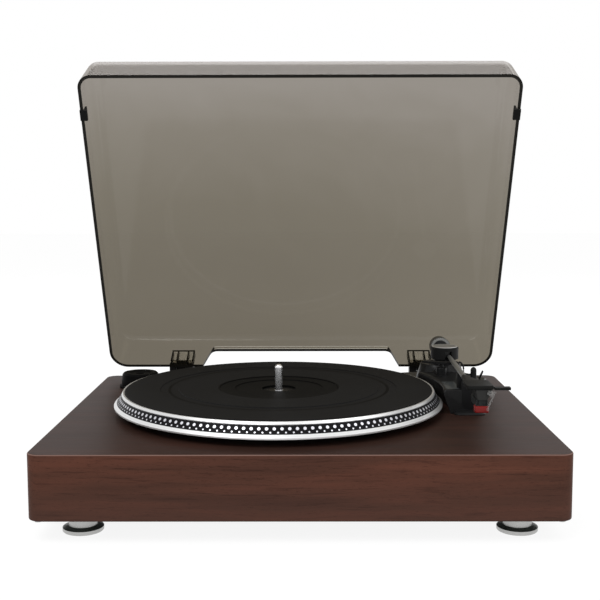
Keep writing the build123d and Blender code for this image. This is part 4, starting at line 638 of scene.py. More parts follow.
@dataclass(frozen=True)
class SmokedAcrylic:
    """The tinted clear cover, with dark sawn edges at its rim and at its cut-out.

    Depth runs from the rim into the cover and rise from the hinges to the upper wall, both along the
    cover's own axes.

    Args:
        tints_and_reflection: stops of the tint along the rise, lighter toward the top as a painted
            reflection.
        wall: tint of the upper wall, lighter as a painted reflection.
        window: tint of the panes in the hinge sockets and of the joint over the cut-out.
        cut: colour of the sawn edges.
        index: refractive index.
        shine: share of the plain reflection.
        gloss: roughness of the reflection.
        length: length of the cover.
        wall_rise: rise past which the upper wall starts.
        facing: share of a normal along the rise that tells a wall's faces from its edges.
        sockets: nearest and farthest place of the hinge sockets from the middle.
        socket_depth: depths between which a socket's window lies.
        socket_rise: rises between which a socket's window lies.
        rim_depth: depth at which the rim's sawn edge ends.
        notch_half: half width of the cut-out.
        notch_depth: depth at which its sawn edge ends and the joint starts.
        joint_end: depth at which the joint ends.
    """

    tints_and_reflection: tuple = (
        (0.12, (0.400, 0.377, 0.334)),
        (0.60, (0.446, 0.423, 0.378)),
        (0.85, (0.495, 0.472, 0.432)),
        (1.00, (0.545, 0.522, 0.492)),
    )
    wall: tuple = (0.68, 0.66, 0.645)
    window: tuple = (0.98, 0.98, 0.97)
    cut: tuple = (0.012, 0.011, 0.009)
    index: float = 1.52
    shine: float = 0.22
    gloss: float = 0.08
    length: float = 325.0
    wall_rise: float = 300.0
    facing: float = 0.6
    sockets: tuple = (117.3, 142.7)
    socket_depth: tuple = (12.3, 32.3)
    socket_rise: tuple = (-7.8, -0.35)
    rim_depth: float = 0.06
    notch_half: float = 106.5
    notch_depth: float = 32.4
    joint_end: float = 34.6

    def toward_back(self, tree: Tree) -> Socket:
        """Gives the share of the normal that lies along the rise, without its sign.

        Args:
            tree: writer of the material.

        Returns:
            The value's socket.
        """
        _, normal_y, normal_z = tree.apart(tree.normal)
        facing_rear = tree.times(normal_y, math.cos(LID_ANGLE))
        facing_down = tree.times(normal_z, -math.sin(LID_ANGLE))
        return tree.math("ABSOLUTE", tree.plus(facing_rear, facing_down))

    def tint(self, tree: Tree, x: Socket, rise: Socket) -> Socket:
        """Lets the tint drift along the rise, in soft clouds, and to the lower right.

        Args:
            tree: writer of the material.
            x: place from left to right in millimetres.
            rise: place along the rise in millimetres.

        Returns:
            The colour output.
        """
        share = tree.math("DIVIDE", rise, self.length)
        haze = tree.noise(9.0, detail=5.0, rough=0.6, twist=1.5)
        lower = tree.math("SUBTRACT", 1.0, share, clamp=True)
        right = tree.math("MULTIPLY", x, 1.6 * MM, clamp=True)
        # Painted reflection: the tint lightens along the rise.
        drift = tree.plus(tree.plus(share, tree.times(haze, 0.16)), tree.times(right, lower))
        return tree.ramp(drift, self.tints_and_reflection)

    def build(self, name: str) -> Material:
        """Makes the material.

        Args:
            name: name of the material.

        Returns:
            The material.
        """
        tree = Tree(name)
        sine = math.sin(LID_ANGLE)
        cosine = math.cos(LID_ANGLE)
        x, y, z = tree.millimetres()
        y = tree.minus(y, LID_ORIGIN[1])
        z = tree.minus(z, LID_ORIGIN[2])
        depth = tree.plus(tree.times(y, sine), tree.times(z, cosine))
        rise = tree.minus(tree.times(z, sine), tree.times(y, cosine))
        from_middle = tree.math("ABSOLUTE", tree.minus(x, LID_ORIGIN[0]))
        back = self.toward_back(tree)
        wall = tree.times(tree.above(back, self.facing), tree.above(rise, self.wall_rise))
        boxed = tree.times(
            tree.between(from_middle, *self.sockets, 0.1), tree.between(depth, *self.socket_depth, 0.1)
        )
        boxed = tree.times(boxed, tree.between(rise, *self.socket_rise, 0.05))
        sawn = tree.times(tree.below(back, self.facing), tree.below(from_middle, self.notch_half))
        joint = tree.times(sawn, tree.between(depth, self.notch_depth, self.joint_end, 0.05))
        boxed = tree.larger(boxed, joint)
        # Painted reflection: the upper wall takes a lighter tint than the panes.
        tint = tree.mix(boxed, tree.mix(wall, self.tint(tree, x, rise), self.wall), self.window)
        clear = tree.shader("ShaderNodeBsdfTransparent", Color=tint)
        gloss = tree.shader("ShaderNodeBsdfGlossy", Color=WHITE, Roughness=self.gloss)
        geometry = tree.nodes.new("ShaderNodeNewGeometry")
        inside = tree.times(geometry.outputs["Backfacing"], 1.0 / self.index - self.index)
        fresnel = tree.shader("ShaderNodeFresnel", IOR=tree.plus(inside, self.index))
        damped = tree.plus(tree.times(boxed, 0.2), tree.times(wall, 0.1))
        pane = tree.blend(tree.times(fresnel, tree.minus(self.shine, damped)), clear, gloss)
        values = {"Base_Color": self.cut, "Roughness": 0.3, "Specular_IOR_Level": 0.1}
        edge = tree.shader("ShaderNodeBsdfPrincipled", **values)
        rim = tree.below(depth, self.rim_depth)
        cut = tree.larger(rim, tree.times(sawn, tree.below(depth, self.notch_depth)))
        return tree.close(tree.blend(cut, pane, edge))


@dataclass(frozen=True)
class ClearPlastic:
    """The clear plastic of the stylus guard.

    Args:
        stops: stops of its tint.
        share: share of the reflection.
    """

    stops: tuple = ((0.2, (0.84, 0.84, 0.83)), (0.8, (0.94, 0.94, 0.93)))
    share: float = 0.07

    def build(self, name: str) -> Material:
        """Makes the material.

        Args:
            name: name of the material.

        Returns:
            The material.
        """
        tree = Tree(name)
        clear = tree.shader("ShaderNodeBsdfTransparent", Color=tree.ramp(tree.noise(400.0), self.stops))
        gloss = tree.shader("ShaderNodeBsdfGlossy", Roughness=0.08)
        return tree.close(tree.blend(self.share, clear, gloss))


@dataclass(frozen=True)
class PlatterMetal:
    """The platter: turned silver lips and a black band with two rows of dots.

    Args:
        count: dots in one row.
        slope: length of the band per unit of height.
        rows: shift in pitches, height, radius and radius of a dot, for each row.
        band: bottom and top of the band.
        band_radius: radius past which the band is black.
        turned_radius: radius past which the metal is turned, not cast.
        turned: stops of the turned metal.
        cast: stops of the cast metal.
        black: colour of the band.
        dot: colour of the dots.
        hub: colour of the hub.
        hub_radius: radius of the hub.
        hub_foot: height that the hub's colour starts at.
        roughness: least roughness, and how far it varies.
        bump: height of the texture in millimetres.
        specular: level of the plain reflection.
    """

    count: int = 150
    slope: float = 1.225
    rows: tuple = ((0.0, -5.7, 144.6, 1.38), (0.5, -8.3, 146.4, 0.8))
    band: tuple = (-9.75, -3.2)
    band_radius: float = 142.2
    turned_radius: float = 140.0
    turned: tuple = ((0.3, grey(0.62)), (0.75, grey(0.80)))
    cast: tuple = ((0.3, grey(0.20)), (0.7, grey(0.28)))
    black: tuple = (0.007, 0.007, 0.008)
    dot: tuple = (0.60, 0.60, 0.64)
    hub: tuple = grey(0.004)
    hub_radius: float = 22.0
    hub_foot: float = -12.0
    roughness: tuple = (0.34, 0.08)
    bump: float = 0.01
    specular: float = 0.05

    def dots(self, tree: Tree, angle: Socket, z: Socket) -> Socket:
        """Masks both rows of dots, each dot a circle in the length of its row and the slanted height.

        Args:
            tree: writer of the material.
            angle: angle round the axis.
            z: height in millimetres.

        Returns:
            The mask socket.
        """
        turns = tree.times(angle, self.count / FULL_TURN)
        mask = 0.0
        for shift, row_z, row_radius, dot_radius in self.rows:
            place = tree.math("FRACT", tree.plus(turns, shift))
            along = tree.times(tree.minus(place, 0.5), FULL_TURN * row_radius / self.count)
            up = tree.times(tree.minus(z, row_z), self.slope)
            reach, _ = tree.polar(along, up)
            mask = tree.larger(mask, tree.math("DIVIDE", tree.minus(dot_radius, reach), 0.18, clamp=True))
        return mask

    def build(self, name: str) -> Material:
        """Makes the material.

        Args:
            name: name of the material.

        Returns:
            The material.
        """
        tree = Tree(name)
        x, y, z = tree.millimetres()
        radius, angle = tree.polar(x, y)
        dots = self.dots(tree, angle, z)
        band = tree.times(tree.between(z, *self.band, 0.08), tree.above(radius, self.band_radius))
        silver = tree.larger(dots, tree.minus(1.0, band))
        lathe = tree.turned(radius, z)
        cast = tree.ramp(tree.noise(900.0), self.cast)
        metal = tree.mix(tree.above(radius, self.turned_radius), cast, tree.ramp(lathe, self.turned))
        color = tree.mix(tree.times(dots, band), tree.mix(silver, self.black, metal), self.dot)
        hub = tree.times(tree.below(radius, self.hub_radius), tree.above(z, self.hub_foot))
        color = tree.mix(hub, color, self.hub)
        metallic = tree.times(tree.times(silver, 0.92), tree.minus(1.0, hub))
        rough = tree.varied(*self.roughness, lathe)
        normal = tree.bump(lathe, self.bump)
        return tree.surface(color, rough, metallic, Normal=normal, Specular_IOR_Level=self.specular)


@dataclass(frozen=True)
class FootMetal:
    """One foot: satin silver with a dark ring on the rim's shoulder.

    Args:
        centre: x and y of the foot.
        ring: bottom and top of the dark ring.
        ring_radius: radius past which it is dark.
        silver: stops of the turned metal.
        dark: colour of the ring.
        roughness: least roughness, and how far it varies.
        bump: height of the texture in millimetres.
    """

    centre: tuple
    ring: tuple = (-86.3, -84.3)
    ring_radius: float = 11.5
    silver: tuple = ((0.3, (0.42, 0.42, 0.41)), (0.75, (0.56, 0.56, 0.55)))
    dark: tuple = (0.07, 0.08, 0.07)
    roughness: tuple = (0.32, 0.08)
    bump: float = 0.008

    def build(self, name: str) -> Material:
        """Makes the material.

        Args:
            name: name of the material.

        Returns:
            The material.
        """
        tree = Tree(name)
        x, y, z = tree.millimetres()
        radius, _ = tree.polar(x, y, self.centre)
        shoulder = tree.times(tree.between(z, *self.ring, 0.05), tree.above(radius, self.ring_radius))
        rings = tree.turned(radius, z)
        color = tree.mix(shoulder, tree.ramp(rings, self.silver), self.dark)
        rough = tree.varied(*self.roughness, rings)
        metallic = tree.minus(0.9, tree.times(shoulder, 0.5))
        return tree.surface(color, rough, metallic, Normal=tree.bump(rings, self.bump))


@dataclass(frozen=True)
class MatRubber:
    """The ribbed black rubber of the mat.

    Args:
        stops: stops of its colour.
        label: colour of the middle, where a record's label rests.
        label_radius: radius of the middle.
        groove_shade: colour of the grooves, a painted shade in them.
        grooves: radius and half width of each of the grooves.
        pitch: distance between two ribs.
        roughness: least roughness, and how far it varies.
        bump: height of the texture in millimetres.
        specular: level of the plain reflection.
    """

    stops: tuple = ((0.3, (0.0065, 0.0065, 0.0066)), (0.7, (0.0095, 0.0095, 0.0097)))
    label: tuple = grey(0.003)
    label_radius: float = 53.0
    groove_shade: tuple = grey(0.0016)
    grooves: tuple = ((100.0, 1.5), (54.5, 1.5), (39.8, 1.2))
    pitch: float = 1.4
    roughness: tuple = (0.5, 0.14)
    bump: float = 0.05
    specular: float = 0.035

    def build(self, name: str) -> Material:
        """Makes the material.

        Args:
            name: name of the material.

        Returns:
            The material.
        """
        tree = Tree(name)
        x, y, _ = tree.millimetres()
        radius, _ = tree.polar(x, y)
        dust = tree.noise(2500.0, detail=2.0)
        broad = tree.noise(14.0, detail=4.0)
        color = tree.mix(tree.below(radius, self.label_radius), tree.ramp(broad, self.stops), self.label)
        # Painted shade: the grooves are darkened.
        for ring, half in self.grooves:
            color = tree.mix(tree.between(radius, ring - half, ring + half, 0.5), color, self.groove_shade)
        rough = tree.varied(*self.roughness, broad)
        ripple = tree.math("SINE", tree.times(radius, FULL_TURN / self.pitch))
        normal = tree.bump(tree.plus(tree.times(dust, 0.4), tree.times(ripple, 0.1)), self.bump)
        return tree.surface(color, rough, Normal=normal, Specular_IOR_Level=self.specular)


@dataclass(frozen=True)
class SpindleFinish:
    """The spindle: a bright pin on a black flange.

    Args:
        steel: stops of the pin.
        black: colour of the flange.
        pin_radius: radius past which the flange starts.
        roughness: least roughness, and how far it varies.
        bump: height of the texture in millimetres.
        specular: level of the plain reflection.
    """

    steel: tuple = ((0.3, (0.72, 0.72, 0.73)), (0.7, (0.82, 0.82, 0.83)))
    black: tuple = grey(0.004)
    pin_radius: float = 4.2
    roughness: tuple = (0.2, 0.1)
    bump: float = 0.002
    specular: float = 0.05

    def build(self, name: str) -> Material:
        """Makes the material.

        Args:
            name: name of the material.

        Returns:
            The material.
        """
        tree = Tree(name)
        x, y, _ = tree.millimetres()
        radius, _ = tree.polar(x, y)
        fine = tree.noise(1200.0, detail=2.0)
        flange = tree.above(radius, self.pin_radius)
        color = tree.mix(flange, tree.ramp(fine, self.steel), self.black)
        rough = tree.varied(*self.roughness, fine)
        metallic = tree.minus(1.0, flange)
        normal = tree.bump(fine, self.bump)
        return tree.surface(color, rough, metallic, Normal=normal, Specular_IOR_Level=self.specular)


@dataclass(frozen=True)
class DrumFinish:
    """The pivot drum: a black side and a spun top with a bright lip.

    Args:
        top: height above which the top starts.
        lip: inner and outer radius of the lip.
        spun: stops of the spun top.
        bright: colour of the lip, a painted highlight on the top's edge.
        black: colour of the side.
        roughness: roughness of the side, and how much is added for the top.
        metallic: metal share of the top.
        bump: height of the texture in millimetres.
        specular: level of the plain reflection.
    """

    top: float = 24.3
    lip: tuple = (11.6, 12.9)
    spun: tuple = ((0.3, grey(0.28)), (0.75, grey(0.40)))
    bright: tuple = (0.70, 0.70, 0.69)
    black: tuple = grey(0.006)
    roughness: tuple = (0.5, -0.2)
    metallic: float = 0.85
    bump: float = 0.01
    specular: float = 0.12

    def build(self, name: str) -> Material:
        """Makes the material.

        Args:
            name: name of the material.

        Returns:
            The material.
        """
        tree = Tree(name)
        x, y, z = tree.millimetres()
        radius, _ = tree.polar(x, y, PIVOT)
        top = tree.times(tree.above(z, self.top), tree.below(radius, self.lip[1]))
        rings = tree.noise(tree.join(tree.times(radius, 7.0), 0.0, 0.0), detail=2.0)
        # Painted highlight: the lip round the top's edge is brighter than the spun top.
        spun = tree.mix(tree.between(radius, *self.lip, 0.1), tree.ramp(rings, self.spun), self.bright)
        color = tree.mix(top, self.black, spun)
        rough = tree.varied(*self.roughness, top)
        metallic = tree.times(top, self.metallic)
        normal = tree.bump(rings, self.bump)
        return tree.surface(color, rough, metallic, Normal=normal, Specular_IOR_Level=self.specular)


@dataclass(frozen=True)
class DialFinish:
    """The force dial: a pale ring with fine marks and a knurled edge.

    Args:
        fine: number of fine marks, width of a mark in pitches and its inner radius.
        coarse: the same for the long marks.
        rim: radius past which the edge is dark.
        knurls: ribs round the edge.
        pale: colour of the ring.
        dark: colour of the marks and the edge.
        roughness: its roughness.
        bump: height of the knurls in millimetres.
    """

    fine: tuple = (30.0, 0.16, 9.4)
    coarse: tuple = (6.0, 0.045, 8.9)
    rim: float = 10.0
    knurls: float = 60.0
    pale: tuple = (0.20, 0.20, 0.19)
    dark: tuple = grey(0.015)
    roughness: float = 0.4
    bump: float = 0.12

    def build(self, name: str) -> Material:
        """Makes the material.

        Args:
            name: name of the material.

        Returns:
            The material.
        """
        tree = Tree(name)
        x, _, z = tree.millimetres()
        radius, angle = tree.polar(x, z, (PIVOT[0], PIVOT_Z))
        turn = tree.math("DIVIDE", angle, FULL_TURN)
        rim = tree.above(radius, self.rim)
        dark = rim
        for count, width, start in (self.fine, self.coarse):
            mark = tree.below(tree.math("FRACT", tree.times(turn, count)), width)
            dark = tree.larger(dark, tree.times(mark, tree.above(radius, start)))
        color = tree.mix(dark, self.pale, self.dark)
        knurl = tree.math("SINE", tree.times(turn, FULL_TURN * self.knurls))
        return tree.surface(color, self.roughness, Normal=tree.bump(tree.times(knurl, rim), self.bump))


@dataclass(frozen=True)
class WeightFinish:
    """The counterweight: satin black with fine ribs round its edge.

    Args:
        stops: stops of its colour.
        ribs: ribs round the edge.
        belt: front and rear of the ribbed part.
        roughness: its roughness.
        metallic: its metal share.
        bump: height of the ribs in millimetres.
    """

    stops: tuple = ((0.3, grey(0.014)), (0.7, grey(0.024)))
    ribs: float = 72.0
    belt: tuple = (117.5, 126.0)
    roughness: float = 0.32
    metallic: float = 0.3
    bump: float = 0.2

    def build(self, name: str) -> Material:
        """Makes the material.

        Args:
            name: name of the material.

        Returns:
            The material.
        """
        tree = Tree(name)
        x, y, z = tree.millimetres()
        _, angle = tree.polar(x, z, (PIVOT[0], PIVOT_Z))
        ribs = tree.math("SINE", tree.times(angle, self.ribs))
        belt = tree.between(y, *self.belt, 0.3)
        color = tree.ramp(tree.noise(90.0), self.stops)
        normal = tree.bump(tree.times(ribs, belt), self.bump)
        return tree.surface(color, self.roughness, self.metallic, Normal=normal)


@dataclass(frozen=True)
class BoardFinish:
    """The circuit board with copper tracks under green lacquer, and its dark components.

    Args:
        greens: the two greens of the lacquer.
        track: colour of the tracks.
        parts: colour of the components.
        top: height above which a face is a component's.
    """

    greens: tuple = ((0.010, 0.085, 0.030), (0.014, 0.110, 0.040))
    track: tuple = (0.05, 0.20, 0.07)
    parts: tuple = (0.02, 0.02, 0.022)
    top: float = -61.85

    def build(self, name: str) -> Material:
        """Makes the material.

        Args:
            name: name of the material.

        Returns:
            The material.
        """
        tree = Tree(name)
        tracks_per_metre = 260.0
        brick = tree.shader(
            "ShaderNodeTexBrick", Vector=tree.scaled(grey(tracks_per_metre)), Color1=self.greens[0],
            Color2=self.greens[1], Mortar=self.track, Mortar_Size=0.03,
        )
        _, _, z = tree.millimetres()
        color = tree.mix(tree.above(z, self.top), brick, self.parts)
        return tree.surface(color, 0.35, Coat_Weight=0.3)


class Look(Enum):
    """The finishes that several pieces share."""

    BLACK_GLOSS = Plain((0.0072, 0.0072, 0.0074), 0.30, bump=0.004, grain=1.5, specular=0.14)
    BLACK_MATTE = Plain((0.0075, 0.0075, 0.0078), 0.42, bump=0.02, grain=0.25, specular=0.1)
    HEAD_BLACK = Plain((0.012, 0.012, 0.0115), 0.46, bump=0.012, grain=0.2, specular=0.03)
    HINGE_BLACK = Plain((0.008, 0.008, 0.008), 0.38, bump=0.015, grain=0.3, specular=0.25)
    # A lighter copy of the head's black for the face under the plate: painted light on its lit front.
    HEAD_FRONT = Plain((0.026, 0.026, 0.025), 0.46, bump=0.012, grain=0.2, specular=0.08)
    ADAPTER_BLACK = Plain((0.0035, 0.0035, 0.0035), 0.46, bump=0.01, grain=0.3, specular=0.02)
    PAD_RUBBER = Plain((0.007, 0.007, 0.007), 0.62, bump=0.03, grain=0.3, specular=0.08)
    BELT_RUBBER = Plain((0.008, 0.008, 0.008), 0.55, bump=0.01, grain=0.3, specular=0.2)
    STYLUS_RED = Plain((0.17, 0.006, 0.005), 0.28, bump=0.004, grain=0.8, spread=0.08, specular=0.25)
    STEEL = Plain((0.42, 0.42, 0.42), 0.3, 1.0, bump=0.006, grain=0.3)
    ZINC = Plain((0.38, 0.39, 0.40), 0.38, 1.0, bump=0.01, grain=0.5)
    BRASS = Plain((0.55, 0.40, 0.16), 0.28, 1.0, bump=0.006, grain=0.3)
    TUBE = Brushed((0.25, 0.25, 0.24), 0.36, 0.75, bump=0.006)
    GIMBAL = Plain((0.03, 0.03, 0.03), 0.4, 0.3, bump=0.01, grain=0.3)
    CARTRIDGE = Plain((0.008, 0.010, 0.010), 0.3, bump=0.006, grain=0.4, specular=0.2)
    # A lighter bluish black for the deck's panel: a painted highlight on the deck's front.
    PANEL_GLOSS = Plain((0.032, 0.038, 0.040), 0.28, bump=0.004, grain=1.5, specular=0.5)
    RIB_SMOKE = Plain((0.016, 0.014, 0.008), 0.3, bump=0.004, grain=0.5, specular=0.25)


@functools.cache
def shared(look: Look) -> Material:
    """Makes the material of a look once, and gives the same one each time."""
    return look.value.build(look.name.lower())


def dress(material: Material, *names: str) -> None:
    """Gives CAD nodes their material.

    Args:
        material: the material.
        names: names of the nodes.
    """
    for name in names:
        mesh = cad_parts[name].data
        mesh.materials.clear()
        mesh.materials.append(material)
        log.info("%s: %s", name, material.name)


def arc(start: float, end: float, steps: int) -> np.ndarray:
    """Spaces angles evenly from one to another, in radians.

    Args:
        start: first angle in degrees.
        end: last angle in degrees.
        steps: number of angles.

    Returns:
        The angles.
    """
    return np.radians(np.linspace(start, end, steps))


def rounded(x0: float, x1: float, y0: float, y1: float, corner: float, steps: int = 32) -> np.ndarray:
    """Gives a rectangle with round corners: each corner's centre plus a circle's quarter.

    Args:
        x0: left side.
        x1: right side.
        y0: front side.
        y1: rear side.
        corner: radius of the corners.
        steps: points round the loop.

    Returns:
        Rows of two coordinates.
    """
    turn = (np.arange(steps) + 0.5) * (FULL_TURN / steps)
    x = (x0 + x1) / 2 + np.sign(np.cos(turn)) * ((x1 - x0) / 2 - corner) + corner * np.cos(turn)
    y = (y0 + y1) / 2 + np.sign(np.sin(turn)) * ((y1 - y0) / 2 - corner) + corner * np.sin(turn)
    return np.stack([x, y], -1)


def raised(loops: list, heights: list) -> np.ndarray:
    """Stacks plan loops at their heights.

    Args:
        loops: rows of two coordinates each.
        heights: one height for each loop.

    Returns:
        Rows, columns and three coordinates.
    """
    plan = np.stack(loops)
    level = np.repeat(np.asarray(heights, float)[:, None], plan.shape[1], axis=1)
    return np.concatenate([plan, level[..., None]], -1)


def block(x: tuple, y: tuple, z: tuple, corner: float, edge: float) -> np.ndarray:
    """Gives a box with round upright corners and round top and bottom edges.

    Each edge is a quarter circle: its inset is edge * (1 - cos) and its rise edge * sin.

    Args:
        x: left and right side.
        y: front and rear side.
        z: bottom and top.
        corner: radius of the upright corners.
        edge: radius of the top and bottom edges.

    Returns:
        Rows, columns and three coordinates.
    """
    quarter = arc(0, 90, 4)
    inset = np.concatenate([edge * (1 - np.sin(quarter)), edge * (1 - np.cos(quarter))])
    level = np.concatenate([z[0] + edge * (1 - np.cos(quarter)), z[1] - edge + edge * np.sin(quarter)])
    loops = [rounded(x[0] + d, x[1] - d, y[0] + d, y[1] - d, max(corner - d, 0.05)) for d in inset]
    return raised(loops, level)


def turned_rows(centre: tuple, profile: np.ndarray, steps: int = 48) -> np.ndarray:
    """Turns a profile of radius and height round an upright line.

    Args:
        centre: x and y of the line.
        profile: rows of radius and height.
        steps: points round the line.

    Returns:
        Rows, columns and three coordinates.
    """
    turn = np.arange(steps) * (FULL_TURN / steps)
    ring = np.stack([np.cos(turn), np.sin(turn)], -1)
    loops = [np.asarray(centre) + radius * ring for radius in profile[:, 0]]
    return raised(loops, profile[:, 1])


def swept(path: np.ndarray, radius: np.ndarray, steps: int = 24) -> np.ndarray:
    """Carries a circle along a path, square to the path's direction at each point.

    Args:
        path: rows of three coordinates.
        radius: radius at each point.
        steps: points round the circle.

    Returns:
        Rows, columns and three coordinates.
    """
    along = np.gradient(path, axis=0)
    along /= np.linalg.norm(along, axis=1)[:, None]
    side = np.cross(along, np.array([0.0, 0.0, 1.0]))
    side /= np.linalg.norm(side, axis=1)[:, None]
    up = np.cross(side, along)
    turn = np.arange(steps) * (FULL_TURN / steps)
    ring = side[:, None, :] * np.cos(turn)[None, :, None] + up[:, None, :] * np.sin(turn)[None, :, None]
    return path[:, None, :] + np.asarray(radius)[:, None, None] * ring


@dataclass
class Piece:
    """A piece of the scene: closed surfaces worked out on grids, in millimetres.

    Args:
        name: name of the piece.
        body: the body that it rides on.
        slot: the record's material slot; not used.
        surfaces: grids of rows, columns and three coordinates, each a closed loop along its columns.
        replaced: CAD nodes that it stands for.
        sharp: angle in degrees past which an edge stays sharp.
    """

    name: str
    body: str
    slot: str
    surfaces: list
    replaced: tuple = ()
    sharp: float = 38.0

    def faces(self, rows: int, columns: int, first: int) -> list:
        """Numbers the corners of every cell, and of the two ends.

        Args:
            rows: rows of the grid.
            columns: columns of the grid.
            first: number of the grid's first point.

        Returns:
            The faces.
        """
        start = np.arange(rows - 1)[:, None] * columns
        column = np.arange(columns)[None, :]
        after = (column + 1) % columns
        above = start + columns
        cells = np.stack([start + column, start + after, above + after, above + column], -1)
        ends = [np.arange(columns), (rows - 1) * columns + np.arange(columns)]
        return (cells.reshape(-1, 4) + first).tolist() + [(end + first).tolist() for end in ends]

    def build(self, material: Material) -> bpy.types.Object:
        """Writes the mesh and ties the piece to its body.

        Args:
            material: its finish.

        Returns:
            The new object, at the origin.
        """
        faces = []
        first = 0
        for grid in self.surfaces:
            faces += self.faces(grid.shape[0], grid.shape[1], first)
            first += grid.shape[0] * grid.shape[1]
        points = np.concatenate([grid.reshape(-1, 3) for grid in self.surfaces]) * MM
        mesh = bpy.data.meshes.new(self.name)
        mesh.from_pydata(points.tolist(), [], faces)
        work = bmesh.new()
        work.from_mesh(mesh)
        bmesh.ops.recalc_face_normals(work, faces=work.faces)
        work.to_mesh(mesh)
        work.free()
        mesh.polygons.foreach_set("use_smooth", np.ones(len(mesh.polygons), dtype=bool))
        mesh.set_sharp_from_angle(angle=math.radians(self.sharp))
        mesh.materials.append(material)
        piece = bpy.data.objects.new(self.name, mesh)
        bpy.context.scene.collection.objects.link(piece)
        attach(piece, self.body)
        if self.replaced:
            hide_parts(*self.replaced)
        log.info("%s: %d faces on %s", self.name, len(faces), self.body)
        return piece


def lid_to_model(grid: np.ndarray) -> np.ndarray:
    """Carries points from the cover's own axes to the model's, by a turn about x and a shift.

    Args:
        grid: points in the cover's axes.

    Returns:
        The same points in the model's axes.
    """
    sine = math.sin(LID_ANGLE)
    cosine = math.cos(LID_ANGLE)
    x = grid[..., 0] + LID_ORIGIN[0]
    y = grid[..., 1] * cosine + grid[..., 2] * sine + LID_ORIGIN[1]
    z = grid[..., 2] * cosine - grid[..., 1] * sine + LID_ORIGIN[2]
    return np.stack([x, y, z], -1)


@dataclass
class Assembly:
    """A sub-assembly, which dresses its CAD nodes.

    Args:
        nodes: pairs of a shared look and the names of the nodes that have it.
    """

    nodes: tuple = ()

    def dress(self) -> None:
        """Gives the nodes of the shared looks their materials."""
        for look, names in self.nodes:
            dress(shared(look), *names)


@dataclass
class Plinth(Assembly):
    """The wooden plinth, its bottom panel, its fasteners and its four feet.

    Args:
        nodes: the nodes of the shared looks.
        columns: side and x of the feet.
        rows: row and y of the feet.
    """

    nodes: tuple = (
        (Look.PAD_RUBBER, ("foot_pads",)),
        (Look.STEEL, ("top_screws", "bottom_screws", "foot_bolts")),
    )
    columns: tuple = (("left", -153.0), ("right", 193.0))
    rows: tuple = (("front", -136.0), ("rear", 136.0))

    def build(self) -> None:
        """Dresses the plinth, and each foot with a finish about its own axis."""
        self.dress()
        dress(WoodVeneer().build("wood_veneer"), "plinth_case")
        dress(PressedBoard().build("pressed_board"), "bottom_panel")
        for row, y in self.rows:
            for side, x in self.columns:
                dress(FootMetal((x, y)).build("foot_metal"), f"foot_{row}_{side}")


@dataclass
class Drive(Assembly):
    """The platter with its mat, spindle and adapter, and the bearing, the motor and the belt.

    Args:
        nodes: the nodes of the shared looks.
    """

    nodes: tuple = (
        (Look.ADAPTER_BLACK, ("record_adapter", "adapter_peg")),
        (Look.BELT_RUBBER, ("drive_belt",)),
        (Look.ZINC, ("bearing_housing", "motor_plate", "motor_can")),
        (Look.BRASS, ("bearing_bush", "motor_pulley")),
        (Look.STEEL, ("thrust_ball",)),
    )

    def build(self) -> None:
        """Dresses what turns and what drives it."""
        self.dress()
        dress(PlatterMetal().build("platter_metal"), "platter")
        dress(MatRubber().build("mat_rubber"), "platter_mat")
        dress(SpindleFinish().build("spindle_finish"), "spindle")


@dataclass
class Electronics(Assembly):
    """The sockets and the switch at the rear, and the circuit board.

    Args:
        nodes: the nodes of the shared looks.
    """

    nodes: tuple = (
        (Look.BLACK_MATTE, ("socket_panel", "power_socket", "power_switch", "switch_frame", "board_posts")),
        (Look.BRASS, ("phono_sockets", "ground_post")),
    )

    def build(self) -> None:
        """Dresses the rear panel's pieces and the board."""
        self.dress()
        dress(BoardFinish().build("board_finish"), "circuit_board")


